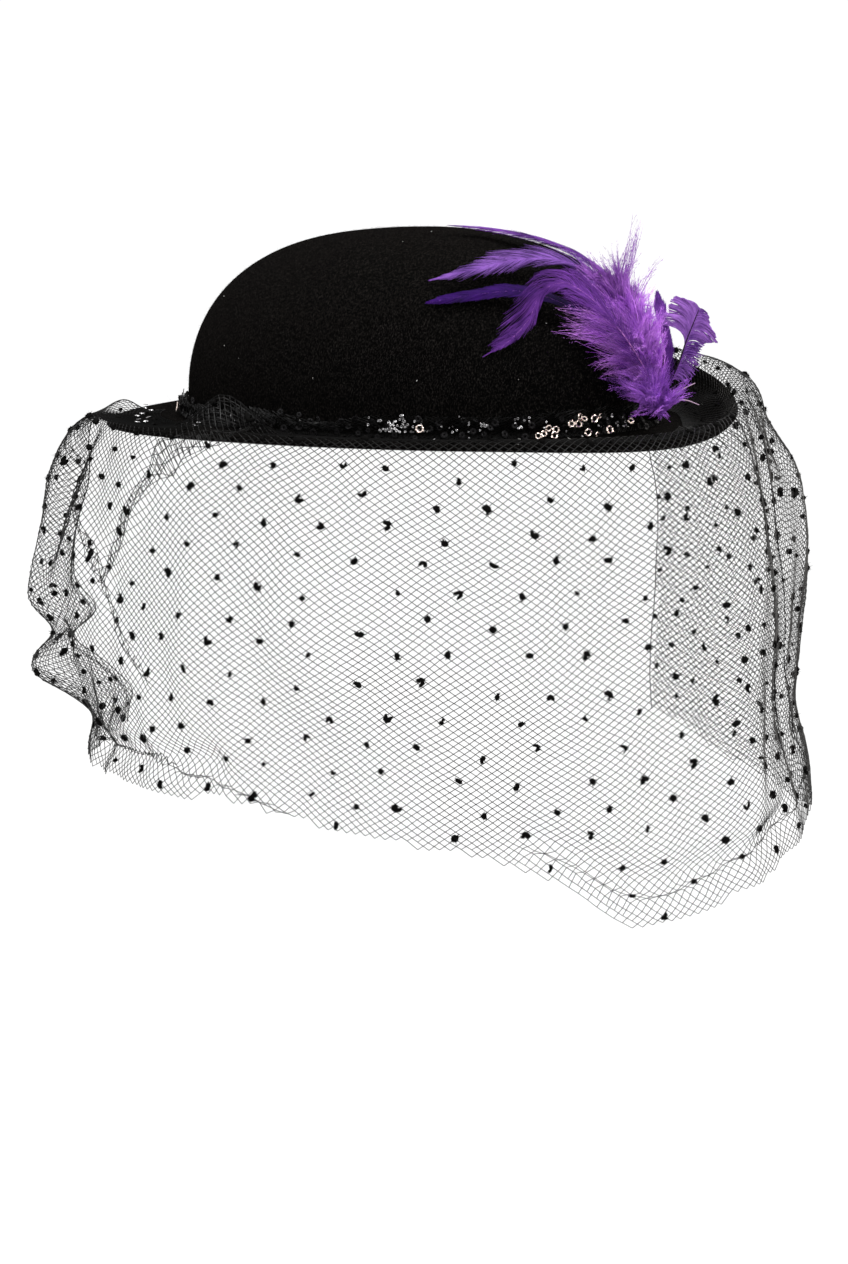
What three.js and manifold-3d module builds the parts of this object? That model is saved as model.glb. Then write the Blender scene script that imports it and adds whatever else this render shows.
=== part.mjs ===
// A small felt hat with a dotted net veil, a sequinned net ruffle and a spray of feathers.
// Millimetres. +Z is up, the front of the hat faces -Y and the wearer's left is +X.
// The origin is the centre of the head opening, level with the foot of the crown.
// A bearing goes round the crown in degrees: 0 is the wearer's left, 90 the back,
// 180 the wearer's right and 270 the front.

import * as THREE from 'three';
import Module from 'manifold-3d';
import { mergeVertices } from 'three/addons/utils/BufferGeometryUtils.js';

const wasm = await Module();
wasm.setup();

// ---------------------------------------------------------------- driving sizes

const CROWN = { halfWidth: 79, halfLength: 95, height: 71.5, fullness: 2.5 };
const FELT = 2;            // wall of the felt
const ROOT_RADIUS = 5;     // turn from the crown's wall into the brim
const SEAT_GAP = 0.35;     // room left between pieces that touch

// The brim by bearing: width along the felt, and its slope at the root and at the edge.
const BRIM = [
  { bearing: 0, width: 34, root: 22, edge: 84 },
  { bearing: 30, width: 32, root: 12, edge: 66 },
  { bearing: 60, width: 29, root: 0, edge: 24 },
  { bearing: 90, width: 24, root: -4, edge: 6 },
  { bearing: 120, width: 23, root: -8, edge: 8 },
  { bearing: 150, width: 28, root: -2, edge: 6 },
  { bearing: 190, width: 29, root: 3, edge: 8 },
  { bearing: 230, width: 28, root: 0, edge: 12 },
  { bearing: 270, width: 28, root: -18, edge: 34 },
  { bearing: 300, width: 29, root: -18, edge: 62 },
  { bearing: 330, width: 32, root: 6, edge: 80 },
];

const NET = 1;             // thickness of a net wall
// The veil is a strip of net round the hat, open at the back. It runs from its first end,
// past the wearer's right and the front, to its second end by the wearer's left.
const VEIL_FIRST = { top: 121, foot: 111 };
const VEIL_SECOND = { top: 349, foot: 346 };
// By bearing: how far it stands out past the brim's edge at its fullest, the level of that
// fullest line, and the hem's reach past the edge and its level.
const VEIL = [
  { bearing: 0, full: 17, fullAt: -56, hem: 16, hemAt: -128 },
  { bearing: 40, full: 17, fullAt: -56, hem: 16, hemAt: -128 },
  { bearing: 80, full: 24, fullAt: -62, hem: 12, hemAt: -132 },
  { bearing: 118, full: 27, fullAt: -66, hem: 8, hemAt: -132 },
  { bearing: 134, full: 33, fullAt: -66, hem: 12, hemAt: -132 },
  { bearing: 142, full: 25, fullAt: -66, hem: 12, hemAt: -131 },
  { bearing: 150, full: 18, fullAt: -66, hem: 11, hemAt: -130 },
  { bearing: 162, full: 15, fullAt: -66, hem: 11, hemAt: -129 },
  { bearing: 174, full: 17, fullAt: -66, hem: 12, hemAt: -127 },
  { bearing: 186, full: 21, fullAt: -66, hem: 13, hemAt: -122 },
  { bearing: 202, full: 23, fullAt: -66, hem: 14, hemAt: -126 },
  { bearing: 220, full: 22, fullAt: -68, hem: 16, hemAt: -131 },
  { bearing: 236, full: 21, fullAt: -72, hem: 20, hemAt: -142 },
  { bearing: 250, full: 24, fullAt: -78, hem: 24, hemAt: -162 },
  { bearing: 262, full: 27, fullAt: -84, hem: 28, hemAt: -160 },
  { bearing: 270, full: 29, fullAt: -88, hem: 30, hemAt: -157 },
  { bearing: 276, full: 26, fullAt: -90, hem: 30, hemAt: -155 },
  { bearing: 283, full: 22, fullAt: -90, hem: 30, hemAt: -153 },
  { bearing: 291, full: 20, fullAt: -90, hem: 32, hemAt: -151 },
  { bearing: 299, full: 24, fullAt: -80, hem: 35, hemAt: -150 },
  { bearing: 305, full: 30, fullAt: -66, hem: 36, hemAt: -152 },
  { bearing: 309, full: 34, fullAt: -61, hem: 37, hemAt: -155 },
  { bearing: 314, full: 38, fullAt: -59, hem: 37, hemAt: -156 },
  { bearing: 319, full: 36.5, fullAt: -58, hem: 34, hemAt: -154 },
  { bearing: 324, full: 33, fullAt: -56, hem: 27, hemAt: -149 },
  { bearing: 330, full: 27, fullAt: -54, hem: 21, hemAt: -143 },
  { bearing: 342, full: 21, fullAt: -54, hem: 16, hemAt: -135 },
];

// Folds of the veil, each a crease from one place to another. A place is a bearing and a
// share of the drop; the width and the depth (positive goes in) are in millimetres.
const FOLDS = [
  { bearing: 116, share: 0.2, toBearing: 124, toShare: 0.5, width: 10, depth: 6 },
  { bearing: 148, share: 0.1, toBearing: 137, toShare: 0.4, width: 10, depth: 8 },
  { bearing: 142, share: 0.6, toBearing: 106, toShare: 0.6, width: 8, depth: 7 },
  { bearing: 140, share: 0.71, toBearing: 106, toShare: 0.7, width: 8, depth: -8 },
  { bearing: 112, share: 0.87, toBearing: 142, toShare: 0.85, width: 10, depth: 6 },
  { bearing: 150, share: 0.9, toBearing: 186, toShare: 0.86, width: 8, depth: 5 },
  { bearing: 302, share: 0.74, toBearing: 335, toShare: 0.74, width: 11, depth: 3 },
  { bearing: 306, share: 0.24, toBearing: 326, toShare: 0.22, width: 10, depth: 5 },
  { bearing: 235, share: 0.9, toBearing: 280, toShare: 0.88, width: 8, depth: 4 },
];

// The gathered net round the foot of the crown: its height, and how far its top leans out.
const RUFFLE_FOOT = 5.6;
const RUFFLE = [
  { bearing: 0, height: 10.5, flare: 1.5 },
  { bearing: 60, height: 10.5, flare: 1.5 },
  { bearing: 120, height: 10.5, flare: 1.8 },
  { bearing: 150, height: 10.5, flare: 2 },
  { bearing: 164, height: 11, flare: 3 },
  { bearing: 174, height: 12.5, flare: 4 },
  { bearing: 182, height: 11, flare: 3 },
  { bearing: 190, height: 10.5, flare: 2 },
  { bearing: 215, height: 10.5, flare: 1.8 },
  { bearing: 240, height: 12, flare: 2.2 },
  { bearing: 270, height: 14, flare: 2.5 },
  { bearing: 300, height: 13, flare: 2.8 },
  { bearing: 330, height: 10.5, flare: 1.5 },
];

// The sequin braid laid over the foot of the ruffle.
const BRAID = { out: 2.65, from: 1.6, to: 8.8, thickness: 1 };
const SEQUIN = { count: 36, radius: 2.2, rise: 0.7, sides: 6 };

// The knot of thread that holds the quills, sewn to the braid.
const BINDING = { bearing: 276, out: 7.6, up: 7.5, radius: 3, length: 11 };

// ---------------------------------------------------------------- small tools

const rad = (degrees) => (degrees * Math.PI) / 180;
const mix = (a, b, share) => a + (b - a) * share;
const smooth = (x) => {
  const s = Math.min(1, Math.max(0, x));
  return s * s * (3 - 2 * s);
};

// Smooth closed curve through one column of a table whose rows are sorted by bearing.
function aroundTable(table, column) {
  const count = table.length;
  const row = (i) => table[((i % count) + count) % count][column];
  const at = (i) => table[((i % count) + count) % count].bearing + 360 * Math.floor(i / count);
  const slope = (i) => (row(i + 1) - row(i - 1)) / (at(i + 1) - at(i - 1));
  return (bearing) => {
    const turn = ((bearing % 360) + 360) % 360;
    let i = count - 1;
    while (i > 0 && at(i) > turn) i -= 1;
    const span = at(i + 1) - at(i);
    const s = (turn - at(i)) / span;
    const s2 = s * s;
    const s3 = s2 * s;
    return (2 * s3 - 3 * s2 + 1) * row(i) + (s3 - 2 * s2 + s) * span * slope(i)
      + (3 * s2 - 2 * s3) * row(i + 1) + (s3 - s2) * span * slope(i + 1);
  };
}

// A point that stands `out` from the crown's foot and `up` above it.
function besideCrown(bearing, out, up) {
  const t = rad(bearing);
  const foot = new THREE.Vector2(CROWN.halfWidth * Math.cos(t), CROWN.halfLength * Math.sin(t));
  const away = new THREE.Vector2(CROWN.halfLength * Math.cos(t), CROWN.halfWidth * Math.sin(t));
  foot.addScaledVector(away.normalize(), out);
  return new THREE.Vector3(foot.x, foot.y, up);
}

// A point of the crown's dome at a rise angle of 0 (foot) to 90 (top), inset into the felt.
function onCrown(bearing, rise, inset) {
  const power = 2 / CROWN.fullness;
  const reach = Math.max(0, Math.cos(rad(rise))) ** power;
  const t = rad(bearing);
  return new THREE.Vector3(
    (CROWN.halfWidth - inset) * reach * Math.cos(t),
    (CROWN.halfLength - inset) * reach * Math.sin(t),
    (CROWN.height - inset) * Math.sin(rad(rise)) ** power,
  );
}

function geometryFrom(points, faces) {
  const geometry = new THREE.BufferGeometry();
  geometry.setAttribute('position', new THREE.Float32BufferAttribute(points.flatMap((p) => [p.x, p.y, p.z]), 3));
  geometry.setIndex(faces.flat());
  geometry.computeVertexNormals();
  return geometry;
}

// Closed skin over rings of equal count; the first and the last ring close on their centres.
function skin(rings, facesOut = true) {
  const size = rings[0].length;
  const points = rings.flat();
  const faces = [];
  const quad = (a, b, c, d) => faces.push([a, b, c], [a, c, d]);
  for (let r = 0; r + 1 < rings.length; r += 1) {
    for (let i = 0; i < size; i += 1) {
      const j = (i + 1) % size;
      quad(r * size + i, r * size + j, (r + 1) * size + j, (r + 1) * size + i);
    }
  }
  const cap = (ring, flip) => {
    const centre = new THREE.Vector3();
    rings[ring].forEach((p) => centre.addScaledVector(p, 1 / size));
    points.push(centre);
    for (let i = 0; i < size; i += 1) {
      const pair = [ring * size + i, ring * size + ((i + 1) % size)];
      if (flip) pair.reverse();
      faces.push([pair[0], pair[1], points.length - 1]);
    }
  };
  cap(0, true);
  cap(rings.length - 1, false);
  if (!facesOut) faces.forEach((face) => face.reverse());
  return geometryFrom(points, faces);
}

// Thin wall either side of a sheet of rows; a closed sheet's rows meet themselves.
function wallAlong(sheet, thickness, closed) {
  const rows = sheet.length;
  const size = sheet[0].length;
  const clamp = (value, top) => Math.min(top, Math.max(0, value));
  const column = (i) => (closed ? (i + size) % size : clamp(i, size - 1));
  const place = (r, i) => sheet[clamp(r, rows - 1)][column(i)];
  const side = (shift) => sheet.map((row, r) => row.map((p, i) => {
    const across = place(r, i + 1).clone().sub(place(r, i - 1));
    const along = place(r + 1, i).clone().sub(place(r - 1, i));
    return p.clone().addScaledVector(across.cross(along).normalize(), shift);
  }));
  const points = [...side(thickness / 2), ...side(-thickness / 2).reverse()].flat();
  const total = 2 * rows;
  const spans = closed ? size : size - 1;
  const faces = [];
  const quad = (a, b, c, d) => faces.push([a, b, c], [a, c, d]);
  for (let r = 0; r < total; r += 1) {
    const next = (r + 1) % total;
    for (let i = 0; i < spans; i += 1) {
      const j = (i + 1) % size;
      quad(r * size + i, r * size + j, next * size + j, next * size + i);
    }
  }
  for (let r = 0; !closed && r + 1 < rows; r += 1) {
    const a = r * size;
    const b = a + size;
    const c = (total - 2 - r) * size;
    const d = c + size;
    quad(a, b, c, d);
    quad(a + size - 1, d + size - 1, c + size - 1, b + size - 1);
  }
  return geometryFrom(points, faces);
}

function toManifold(geometry) {
  const bare = geometry.clone();
  bare.deleteAttribute('normal');
  bare.deleteAttribute('uv');
  const merged = mergeVertices(bare, 1e-4);
  return new wasm.Manifold(new wasm.Mesh({
    numProp: 3,
    vertProperties: new Float32Array(merged.attributes.position.array),
    triVerts: new Uint32Array(merged.index.array),
  }));
}

function fromManifold(solid) {
  const mesh = solid.getMesh();
  const geometry = new THREE.BufferGeometry();
  geometry.setAttribute('position', new THREE.Float32BufferAttribute(mesh.vertProperties, 3));
  geometry.setIndex(Array.from(mesh.triVerts));
  geometry.computeVertexNormals();
  return geometry;
}

const fuse = (geometries) => fromManifold(
  geometries.map(toManifold).reduce((whole, piece) => whole.add(piece)),
);

// ---------------------------------------------------------------- felt hat

const HAT_COLUMNS = 42;
const DOME_ROWS = 8;
const BRIM_ROWS = 6;
const bearings = (count) => Array.from({ length: count }, (_, i) => (360 * i) / count);

const brimWidth = aroundTable(BRIM, 'width');
const brimRoot = aroundTable(BRIM, 'root');
const brimEdge = aroundTable(BRIM, 'edge');

// The top face of the brim from the crown's wall to the edge: rows of { out, up, lean }.
function brimSection(bearing) {
  const root = brimRoot(bearing);
  const edge = brimEdge(bearing);
  const section = [-90, -60, -30].map((lean) => rootPoint(lean));
  section.push(rootPoint(root));
  const step = brimWidth(bearing) / BRIM_ROWS;
  let { out, up } = rootPoint(root);
  for (let k = 1; k <= BRIM_ROWS; k += 1) {
    const lean = mix(root, edge, (k / BRIM_ROWS) ** 1.5);
    const middle = mix(root, edge, ((k - 0.5) / BRIM_ROWS) ** 1.5);
    out += step * Math.cos(rad(middle));
    up += step * Math.sin(rad(middle));
    section.push({ out, up, lean });
  }
  return section;
}

function rootPoint(lean) {
  return {
    out: ROOT_RADIUS * (1 + Math.sin(rad(lean))),
    up: ROOT_RADIUS * (1 - Math.cos(rad(lean))),
    lean,
  };
}

// Moves a point of a section across the felt; positive goes above the brim.
function lifted({ out, up, lean }, height) {
  return { out: out - height * Math.sin(rad(lean)), up: up + height * Math.cos(rad(lean)), lean };
}

function feltHat() {
  const footRise = (Math.asin((ROOT_RADIUS / CROWN.height) ** (CROWN.fullness / 2)) * 180) / Math.PI;
  const rises = Array.from({ length: DOME_ROWS }, (_, k) => mix(86, footRise, k / DOME_ROWS));
  const ringAt = (place) => bearings(HAT_COLUMNS).map(place);
  const dome = (inset) => rises.map((rise) => ringAt((b) => onCrown(b, rise, inset)));
  const sectionRing = (k, height) => ringAt((b) => {
    const point = lifted(brimSection(b)[k], height);
    return besideCrown(b, point.out, point.up);
  });
  const rows = Array.from({ length: BRIM_ROWS + 4 }, (_, k) => k);
  const lip = ringAt((b) => {
    const edge = lifted(brimSection(b).at(-1), -FELT / 2);
    const reach = FELT / 2;
    return besideCrown(b, edge.out + reach * Math.cos(rad(edge.lean)), edge.up + reach * Math.sin(rad(edge.lean)));
  });
  const rings = [
    ...dome(0),
    ...rows.map((k) => sectionRing(k, 0)),
    lip,
    ...rows.map((k) => sectionRing(k, -FELT)).reverse(),
    ...dome(FELT).reverse(),
  ];
  return skin(rings, false);
}

// ---------------------------------------------------------------- veil

const VEIL_COLUMNS = 66;
const VEIL_START = 4;      // row of the brim's section where the net comes out of the ruffle
const veilFull = aroundTable(VEIL, 'full');
const veilFullAt = aroundTable(VEIL, 'fullAt');
const veilHem = aroundTable(VEIL, 'hem');
const veilHemAt = aroundTable(VEIL, 'hemAt');
const VEIL_SHOULDER_ROWS = 4;
const VEIL_DROP_ROWS = 5;

const cubic = (a, b, c, d, s) => a * (1 - s) ** 3 + 3 * b * s * (1 - s) ** 2 + 3 * c * s * s * (1 - s) + d * s ** 3;

const VEIL_LIFT = 0.8;     // room between the brim and the net that lies on it
const VEIL_GIRTH = 2.4;    // millimetres of net for a degree of bearing
const VEIL_LENGTH = 150;   // millimetres of net from the brim's edge to the hem

// How far the folds move the net outwards at a bearing and a share of the drop.
function foldAt(bearing, share) {
  return FOLDS.reduce((sum, fold) => {
    const across = (from) => VEIL_GIRTH * ((((bearing - from) % 360) + 540) % 360 - 180);
    const down = (from) => VEIL_LENGTH * (share - from);
    const run = { x: across(fold.bearing) - across(fold.toBearing), y: down(fold.share) - down(fold.toShare) };
    const here = { x: across(fold.bearing), y: down(fold.share) };
    const along = (here.x * run.x + here.y * run.y) / (run.x ** 2 + run.y ** 2);
    const nearest = Math.min(1, Math.max(0, along));
    const off = Math.hypot(here.x - nearest * run.x, here.y - nearest * run.y);
    return sum - fold.depth * smooth(share / 0.3) * Math.exp(-((off / fold.width) ** 2));
  }, 0);
}

// The net's path at one bearing: over the brim, off its edge, out to its fullest and down.
function veilSection(bearing) {
  const height = VEIL_LIFT + NET / 2;
  const onBrim = brimSection(bearing).slice(VEIL_START).map((point) => lifted(point, height));
  const last = onBrim.at(-1);
  const off = { out: last.out + 3 * Math.cos(rad(last.lean)), up: last.up + 3 * Math.sin(rad(last.lean)) };
  const full = { out: last.out + veilFull(bearing), up: veilFullAt(bearing) };
  const hem = { out: last.out + veilHem(bearing), up: veilHemAt(bearing) };
  const lean = rad(mix(8, last.lean, 0.6));
  const away = 0.55 * (full.out - off.out);
  const down = 0.55 * (off.up - full.up);
  const path = [...onBrim, off].map((point) => ({ ...point, share: 0 }));
  const drop = full.up - hem.up;
  for (let k = 1; k <= VEIL_SHOULDER_ROWS; k += 1) {
    const s = k / VEIL_SHOULDER_ROWS;
    path.push({
      out: cubic(off.out, off.out + away * Math.cos(lean), full.out, full.out, s),
      up: cubic(off.up, off.up + away * Math.sin(lean), full.up + down, full.up, s),
      share: 0.5 * s,
    });
  }
  for (let k = 1; k <= VEIL_DROP_ROWS; k += 1) {
    const s = k / VEIL_DROP_ROWS;
    path.push({
      out: cubic(full.out, full.out, hem.out, hem.out, s),
      up: cubic(full.up, full.up - 0.4 * drop, hem.up + 0.3 * drop, hem.up, s),
      share: 0.5 + 0.5 * s,
    });
  }
  return path;
}

function veil() {
  const columns = Array.from({ length: VEIL_COLUMNS + 1 }, (_, i) => i / VEIL_COLUMNS);
  const bearingAt = (turn, share) => mix(
    mix(VEIL_FIRST.top, VEIL_FIRST.foot, share),
    mix(VEIL_SECOND.top, VEIL_SECOND.foot, share),
    turn,
  );
  const rows = veilSection(VEIL_FIRST.top).map(({ share }, r) => columns.map((turn) => {
    const bearing = bearingAt(turn, share);
    const { out, up } = veilSection(bearing)[r];
    return besideCrown(bearing, out + foldAt(bearing, share), up);
  }));
  return wallAlong(rows, NET, false);
}

// ---------------------------------------------------------------- ruffle and braid

const RUFFLE_COLUMNS = 60;
const RUFFLE_WAVES = 15;
const ruffleHeight = aroundTable(RUFFLE, 'height');
const ruffleFlare = aroundTable(RUFFLE, 'flare');

function netRuffle() {
  const flat = SEAT_GAP + NET / 2 + 0.15;
  const standing = BRAID.to + SEAT_GAP;
  const foot = bearings(RUFFLE_COLUMNS).map((b) => besideCrown(b, flat, RUFFLE_FOOT));
  const heading = [0, 0.5, 1].map((share) => bearings(RUFFLE_COLUMNS).map((b) => {
    const wave = 0.5 * share * (1 + Math.sin(rad(b * RUFFLE_WAVES)));
    return besideCrown(b, flat + ruffleFlare(b) * share ** 2 + wave, mix(standing, ruffleHeight(b), share));
  }));
  return wallAlong([foot, ...heading].reverse(), NET, true);
}

function sequinBraid() {
  const { out, from, to, thickness } = BRAID;
  const strip = wallAlong([to, from].map((up) => bearings(RUFFLE_COLUMNS).map((b) => besideCrown(b, out, up))), thickness, true);
  const sequins = Array.from({ length: SEQUIN.count }, (_, k) => {
    const bearing = (360 * k) / SEQUIN.count;
    const up = mix(from, to, k % 2 ? 0.68 : 0.32);
    const disc = new THREE.CylinderGeometry(SEQUIN.radius, SEQUIN.radius, 2 * SEQUIN.rise, SEQUIN.sides);
    const face = besideCrown(bearing, out + thickness / 2, up);
    const away = besideCrown(bearing, out + 1, up).sub(besideCrown(bearing, out, up));
    disc.applyQuaternion(new THREE.Quaternion().setFromUnitVectors(new THREE.Vector3(0, 1, 0), away));
    return disc.translate(face.x, face.y, face.z);
  });
  return fuse([strip, ...sequins]);
}

// ---------------------------------------------------------------- feathers

// Each vane is a thin lens along its quill. A row of a quill is a point of the curve; a row
// of a vane is a share of the quill's length and the width of the barbs on either side.
const QUILL = 0.8;         // half width of a bare quill
const VANE = 1.6;          // thickness of a vane at its quill
const FEATHERS = {
  hackle_curled: {
    foot: { side: -3, out: 1.5 },
    quill: [
      { x: -7, y: -110, z: 22 }, { x: -19, y: -109, z: 35 }, { x: -25, y: -104, z: 44 },
      { x: -28, y: -99, z: 49.5 }, { x: -32, y: -92, z: 53.5 }, { x: -36, y: -86, z: 50.5 },
      { x: -39, y: -82.5, z: 41 }, { x: -46, y: -78, z: 33 }, { x: -51, y: -73, z: 29 },
    ],
    vane: [
      { along: 0.12, left: 3, right: 3 }, { along: 0.3, left: 6, right: 7 },
      { along: 0.55, left: 7, right: 4 }, { along: 0.75, left: 6, right: 4 },
      { along: 0.92, left: 2.5, right: 2 },
    ],
    facing: { x: -0.6, y: -0.7, z: 0.35 },
  },
  hackle_broad: {
    foot: { side: -1.2, out: -1.3 },
    quill: [
      { x: 0, y: -99, z: 30 }, { x: -7, y: -92, z: 47 }, { x: -9, y: -82, z: 58 },
      { x: -17, y: -74, z: 61 }, { x: -28, y: -67, z: 60.5 }, { x: -40, y: -59, z: 57.5 },
      { x: -51, y: -49, z: 54 },
    ],
    vane: [
      { along: 0.25, left: 2, right: 2 }, { along: 0.5, left: 4, right: 5 },
      { along: 0.7, left: 5, right: 6 }, { along: 0.9, left: 3, right: 3.5 },
    ],
  },
  hackle_violet: {
    foot: { side: -3.6, out: -0.7 },
    quill: [
      { x: -6, y: -95, z: 31 }, { x: -18, y: -86, z: 44 }, { x: -31, y: -75, z: 50 },
      { x: -42, y: -65, z: 49.5 }, { x: -55, y: -51, z: 46.5 },
    ],
    vane: [
      { along: 0.3, left: 1.6, right: 1.6 }, { along: 0.6, left: 3, right: 3 },
      { along: 0.88, left: 2, right: 2 },
    ],
  },
  hackle_top: {
    foot: { side: 1.2, out: -1.3 },
    quill: [
      { x: 11, y: -91, z: 44 }, { x: 9, y: -75, z: 59 }, { x: 3, y: -63, z: 65.5 },
      { x: -4, y: -53, z: 69 }, { x: -9, y: -42, z: 71 }, { x: -17, y: -30, z: 72.3 },
    ],
    vane: [
      { along: 0.35, left: 1.6, right: 1.6 }, { along: 0.65, left: 3, right: 3.5 },
      { along: 0.9, left: 1.8, right: 2 },
    ],
  },
  spike_feather: {
    foot: { side: 3.6, out: -1.3 },
    quill: [{ x: 15, y: -104, z: 24 }, { x: 14, y: -103, z: 36 }, { x: 15, y: -99, z: 49 }],
    vane: [
      { along: 0.3, left: 1.6, right: 1.6 }, { along: 0.7, left: 2.2, right: 2 },
    ],
    facing: { x: -0.7, y: -0.7, z: 0.1 },
  },
  fan_feather: {
    foot: { side: 3.2, out: 1.1 },
    quill: [{ x: 15, y: -108, z: 23 }, { x: 18, y: -110, z: 33 }, { x: 22, y: -112, z: 43 }],
    vane: [
      { along: 0.3, left: 1.5, right: 2.5 }, { along: 0.62, left: 3.5, right: 4.5 },
      { along: 0.85, left: 8, right: 7.5 }, { along: 1, left: 8, right: 8 },
    ],
    facing: { x: -0.72, y: -0.66, z: 0.2 },
  },
};

// Tufts of down: locks fused to a core. A row is the tip of a lock and its width at the core.
const PLUME = {
  core: [
    { x: 10, y: -104.5, z: 12.5, radius: 1.5 }, { x: 0, y: -107, z: 23, radius: 4.5 },
    { x: -6, y: -105.5, z: 34, radius: 5 }, { x: -9, y: -101, z: 45, radius: 4.5 },
    { x: -13, y: -94, z: 54, radius: 2 },
  ],
  locks: [
    { from: 0.3, x: -19, y: -112, z: 20, width: 4 }, { from: 0.4, x: 9, y: -111, z: 35, width: 4 },
    { from: 0.5, x: -24, y: -111, z: 31, width: 4 }, { from: 0.6, x: 8, y: -107, z: 47, width: 4 },
    { from: 0.7, x: 7, y: -101, z: 58, width: 3.5 }, { from: 0.85, x: 1, y: -97, z: 67, width: 4 },
    { from: 0.9, x: -13, y: -91, z: 65, width: 3 },
  ],
};
const BASE_DOWN = {
  core: [
    { x: 8, y: -107, z: 8, radius: 1.5 }, { x: 2, y: -107.9, z: 10, radius: 3 },
    { x: -4, y: -109.2, z: 13, radius: 1.5 },
  ],
  locks: [
    { from: 0.8, x: -17, y: -111, z: 19, width: 3 }, { from: 0.7, x: -15, y: -112, z: 11, width: 3 },
    { from: 0.5, x: -7, y: -113, z: 6, width: 2.6 }, { from: 0.2, x: 21, y: -110, z: 17, width: 3 },
    { from: 0.2, x: 19, y: -111, z: 6, width: 2.6 },
  ],
};

// A place on the binding: along it, out from the crown, and up.
function bindingPlace(side, out, up) {
  const here = besideCrown(BINDING.bearing, BINDING.out + out, up);
  const t = rad(BINDING.bearing);
  const run = new THREE.Vector3(-CROWN.halfWidth * Math.sin(t), CROWN.halfLength * Math.cos(t), 0);
  return here.addScaledVector(run.normalize(), side);
}

function quillBinding() {
  const ends = [-1, -0.85, -0.4, 0.4, 0.85, 1];
  const rings = ends.map((end) => {
    const radius = BINDING.radius * Math.sqrt(1 - 0.95 * end ** 4);
    return Array.from({ length: 10 }, (_, i) => {
      const turn = (2 * Math.PI * i) / 10;
      return bindingPlace((end * BINDING.length) / 2, radius * Math.cos(turn), BINDING.up + radius * Math.sin(turn));
    });
  });
  return skin(rings, false);
}

// Linear value of a vane's column at a share of the quill.
function vaneWidth(rows, column, share) {
  const ends = [{ along: 0, [column]: QUILL }, ...rows];
  if (rows.at(-1).along < 1) ends.push({ along: 1, [column]: 0.4 });
  const i = Math.max(1, ends.findIndex((row) => row.along >= share));
  const step = (share - ends[i - 1].along) / (ends[i].along - ends[i - 1].along);
  return mix(ends[i - 1][column], ends[i][column], smooth(step));
}

// The crown's outward direction beside a point.
function awayFromCrown(p) {
  const { halfWidth, halfLength, height } = CROWN;
  return new THREE.Vector3(p.x / halfWidth ** 2, p.y / halfLength ** 2, Math.max(0, p.z) / height ** 2).normalize();
}

const VANE_STEPS = 12;

// A feather; `grown` makes it larger all round, to cut its room out of a neighbour.
function feather({ foot, quill, vane, facing }, grown = 0) {
  const start = bindingPlace(foot.side, foot.out, BINDING.up + BINDING.radius + SEAT_GAP);
  const curve = new THREE.CatmullRomCurve3([start, ...quill.map((p) => new THREE.Vector3(p.x, p.y, p.z))], false, 'centripetal');
  const rings = Array.from({ length: VANE_STEPS + 1 }, (_, k) => {
    const share = k / VANE_STEPS;
    const centre = curve.getPointAt(share);
    const along = curve.getTangentAt(share);
    const towards = facing ? new THREE.Vector3(facing.x, facing.y, facing.z) : awayFromCrown(centre);
    const normal = towards.addScaledVector(along, -towards.dot(along)).normalize();
    const across = along.clone().cross(normal);
    const half = VANE / 2 + grown;
    if (k === 0) centre.addScaledVector(along, -grown);
    if (k === VANE_STEPS) centre.addScaledVector(along, grown);
    return [
      centre.clone().addScaledVector(across, vaneWidth(vane, 'right', share) + grown),
      centre.clone().addScaledVector(normal, half),
      centre.clone().addScaledVector(across, -vaneWidth(vane, 'left', share) - grown),
      centre.clone().addScaledVector(normal, -half),
    ];
  });
  return skin(rings, false);
}

// A tuft of down: a round core with locks that taper to their tips.
function tuft({ core, locks }) {
  const spine = new THREE.CatmullRomCurve3(core.map((p) => new THREE.Vector3(p.x, p.y, p.z)));
  const tube = (curve, steps, sides, radiusAt) => skin(Array.from({ length: steps + 1 }, (_, k) => {
    const share = k / steps;
    const along = curve.getTangentAt(share);
    const across = new THREE.Vector3(0, 0, 1).cross(along).normalize();
    if (across.lengthSq() < 0.5) across.set(1, 0, 0);
    const third = along.clone().cross(across);
    return Array.from({ length: sides }, (_unused, i) => {
      const turn = (2 * Math.PI * i) / sides;
      return curve.getPointAt(share)
        .addScaledVector(across, radiusAt(share) * Math.cos(turn))
        .addScaledVector(third, radiusAt(share) * Math.sin(turn));
    });
  }));
  const coreRadius = (share) => {
    const at = share * (core.length - 1);
    const i = Math.min(core.length - 2, Math.floor(at));
    return mix(core[i].radius, core[i + 1].radius, at - i);
  };
  const strands = locks.map((lock) => {
    const root = spine.getPointAt(lock.from);
    const tip = new THREE.Vector3(lock.x, lock.y, lock.z);
    const middle = root.clone().lerp(tip, 0.5).add(new THREE.Vector3(0, 0, 0.12 * root.distanceTo(tip)));
    const bend = new THREE.QuadraticBezierCurve3(root, middle, tip);
    return tube(bend, 4, 5, (share) => mix(lock.width / 2, 0.3, share));
  });
  return [tube(spine, 6, 8, coreRadius), ...strands];
}

// A tuft with room cut out of it for the feathers beside it.
function tuftAround(shape, neighbours) {
  let solid = toManifold(fuse(tuft(shape)));
  neighbours.forEach((neighbour) => {
    solid = solid.subtract(toManifold(neighbour));
  });
  const pieces = solid.decompose().sort((a, b) => b.volume() - a.volume());
  return fromManifold(pieces[0]);
}

// ---------------------------------------------------------------- assembly

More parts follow.
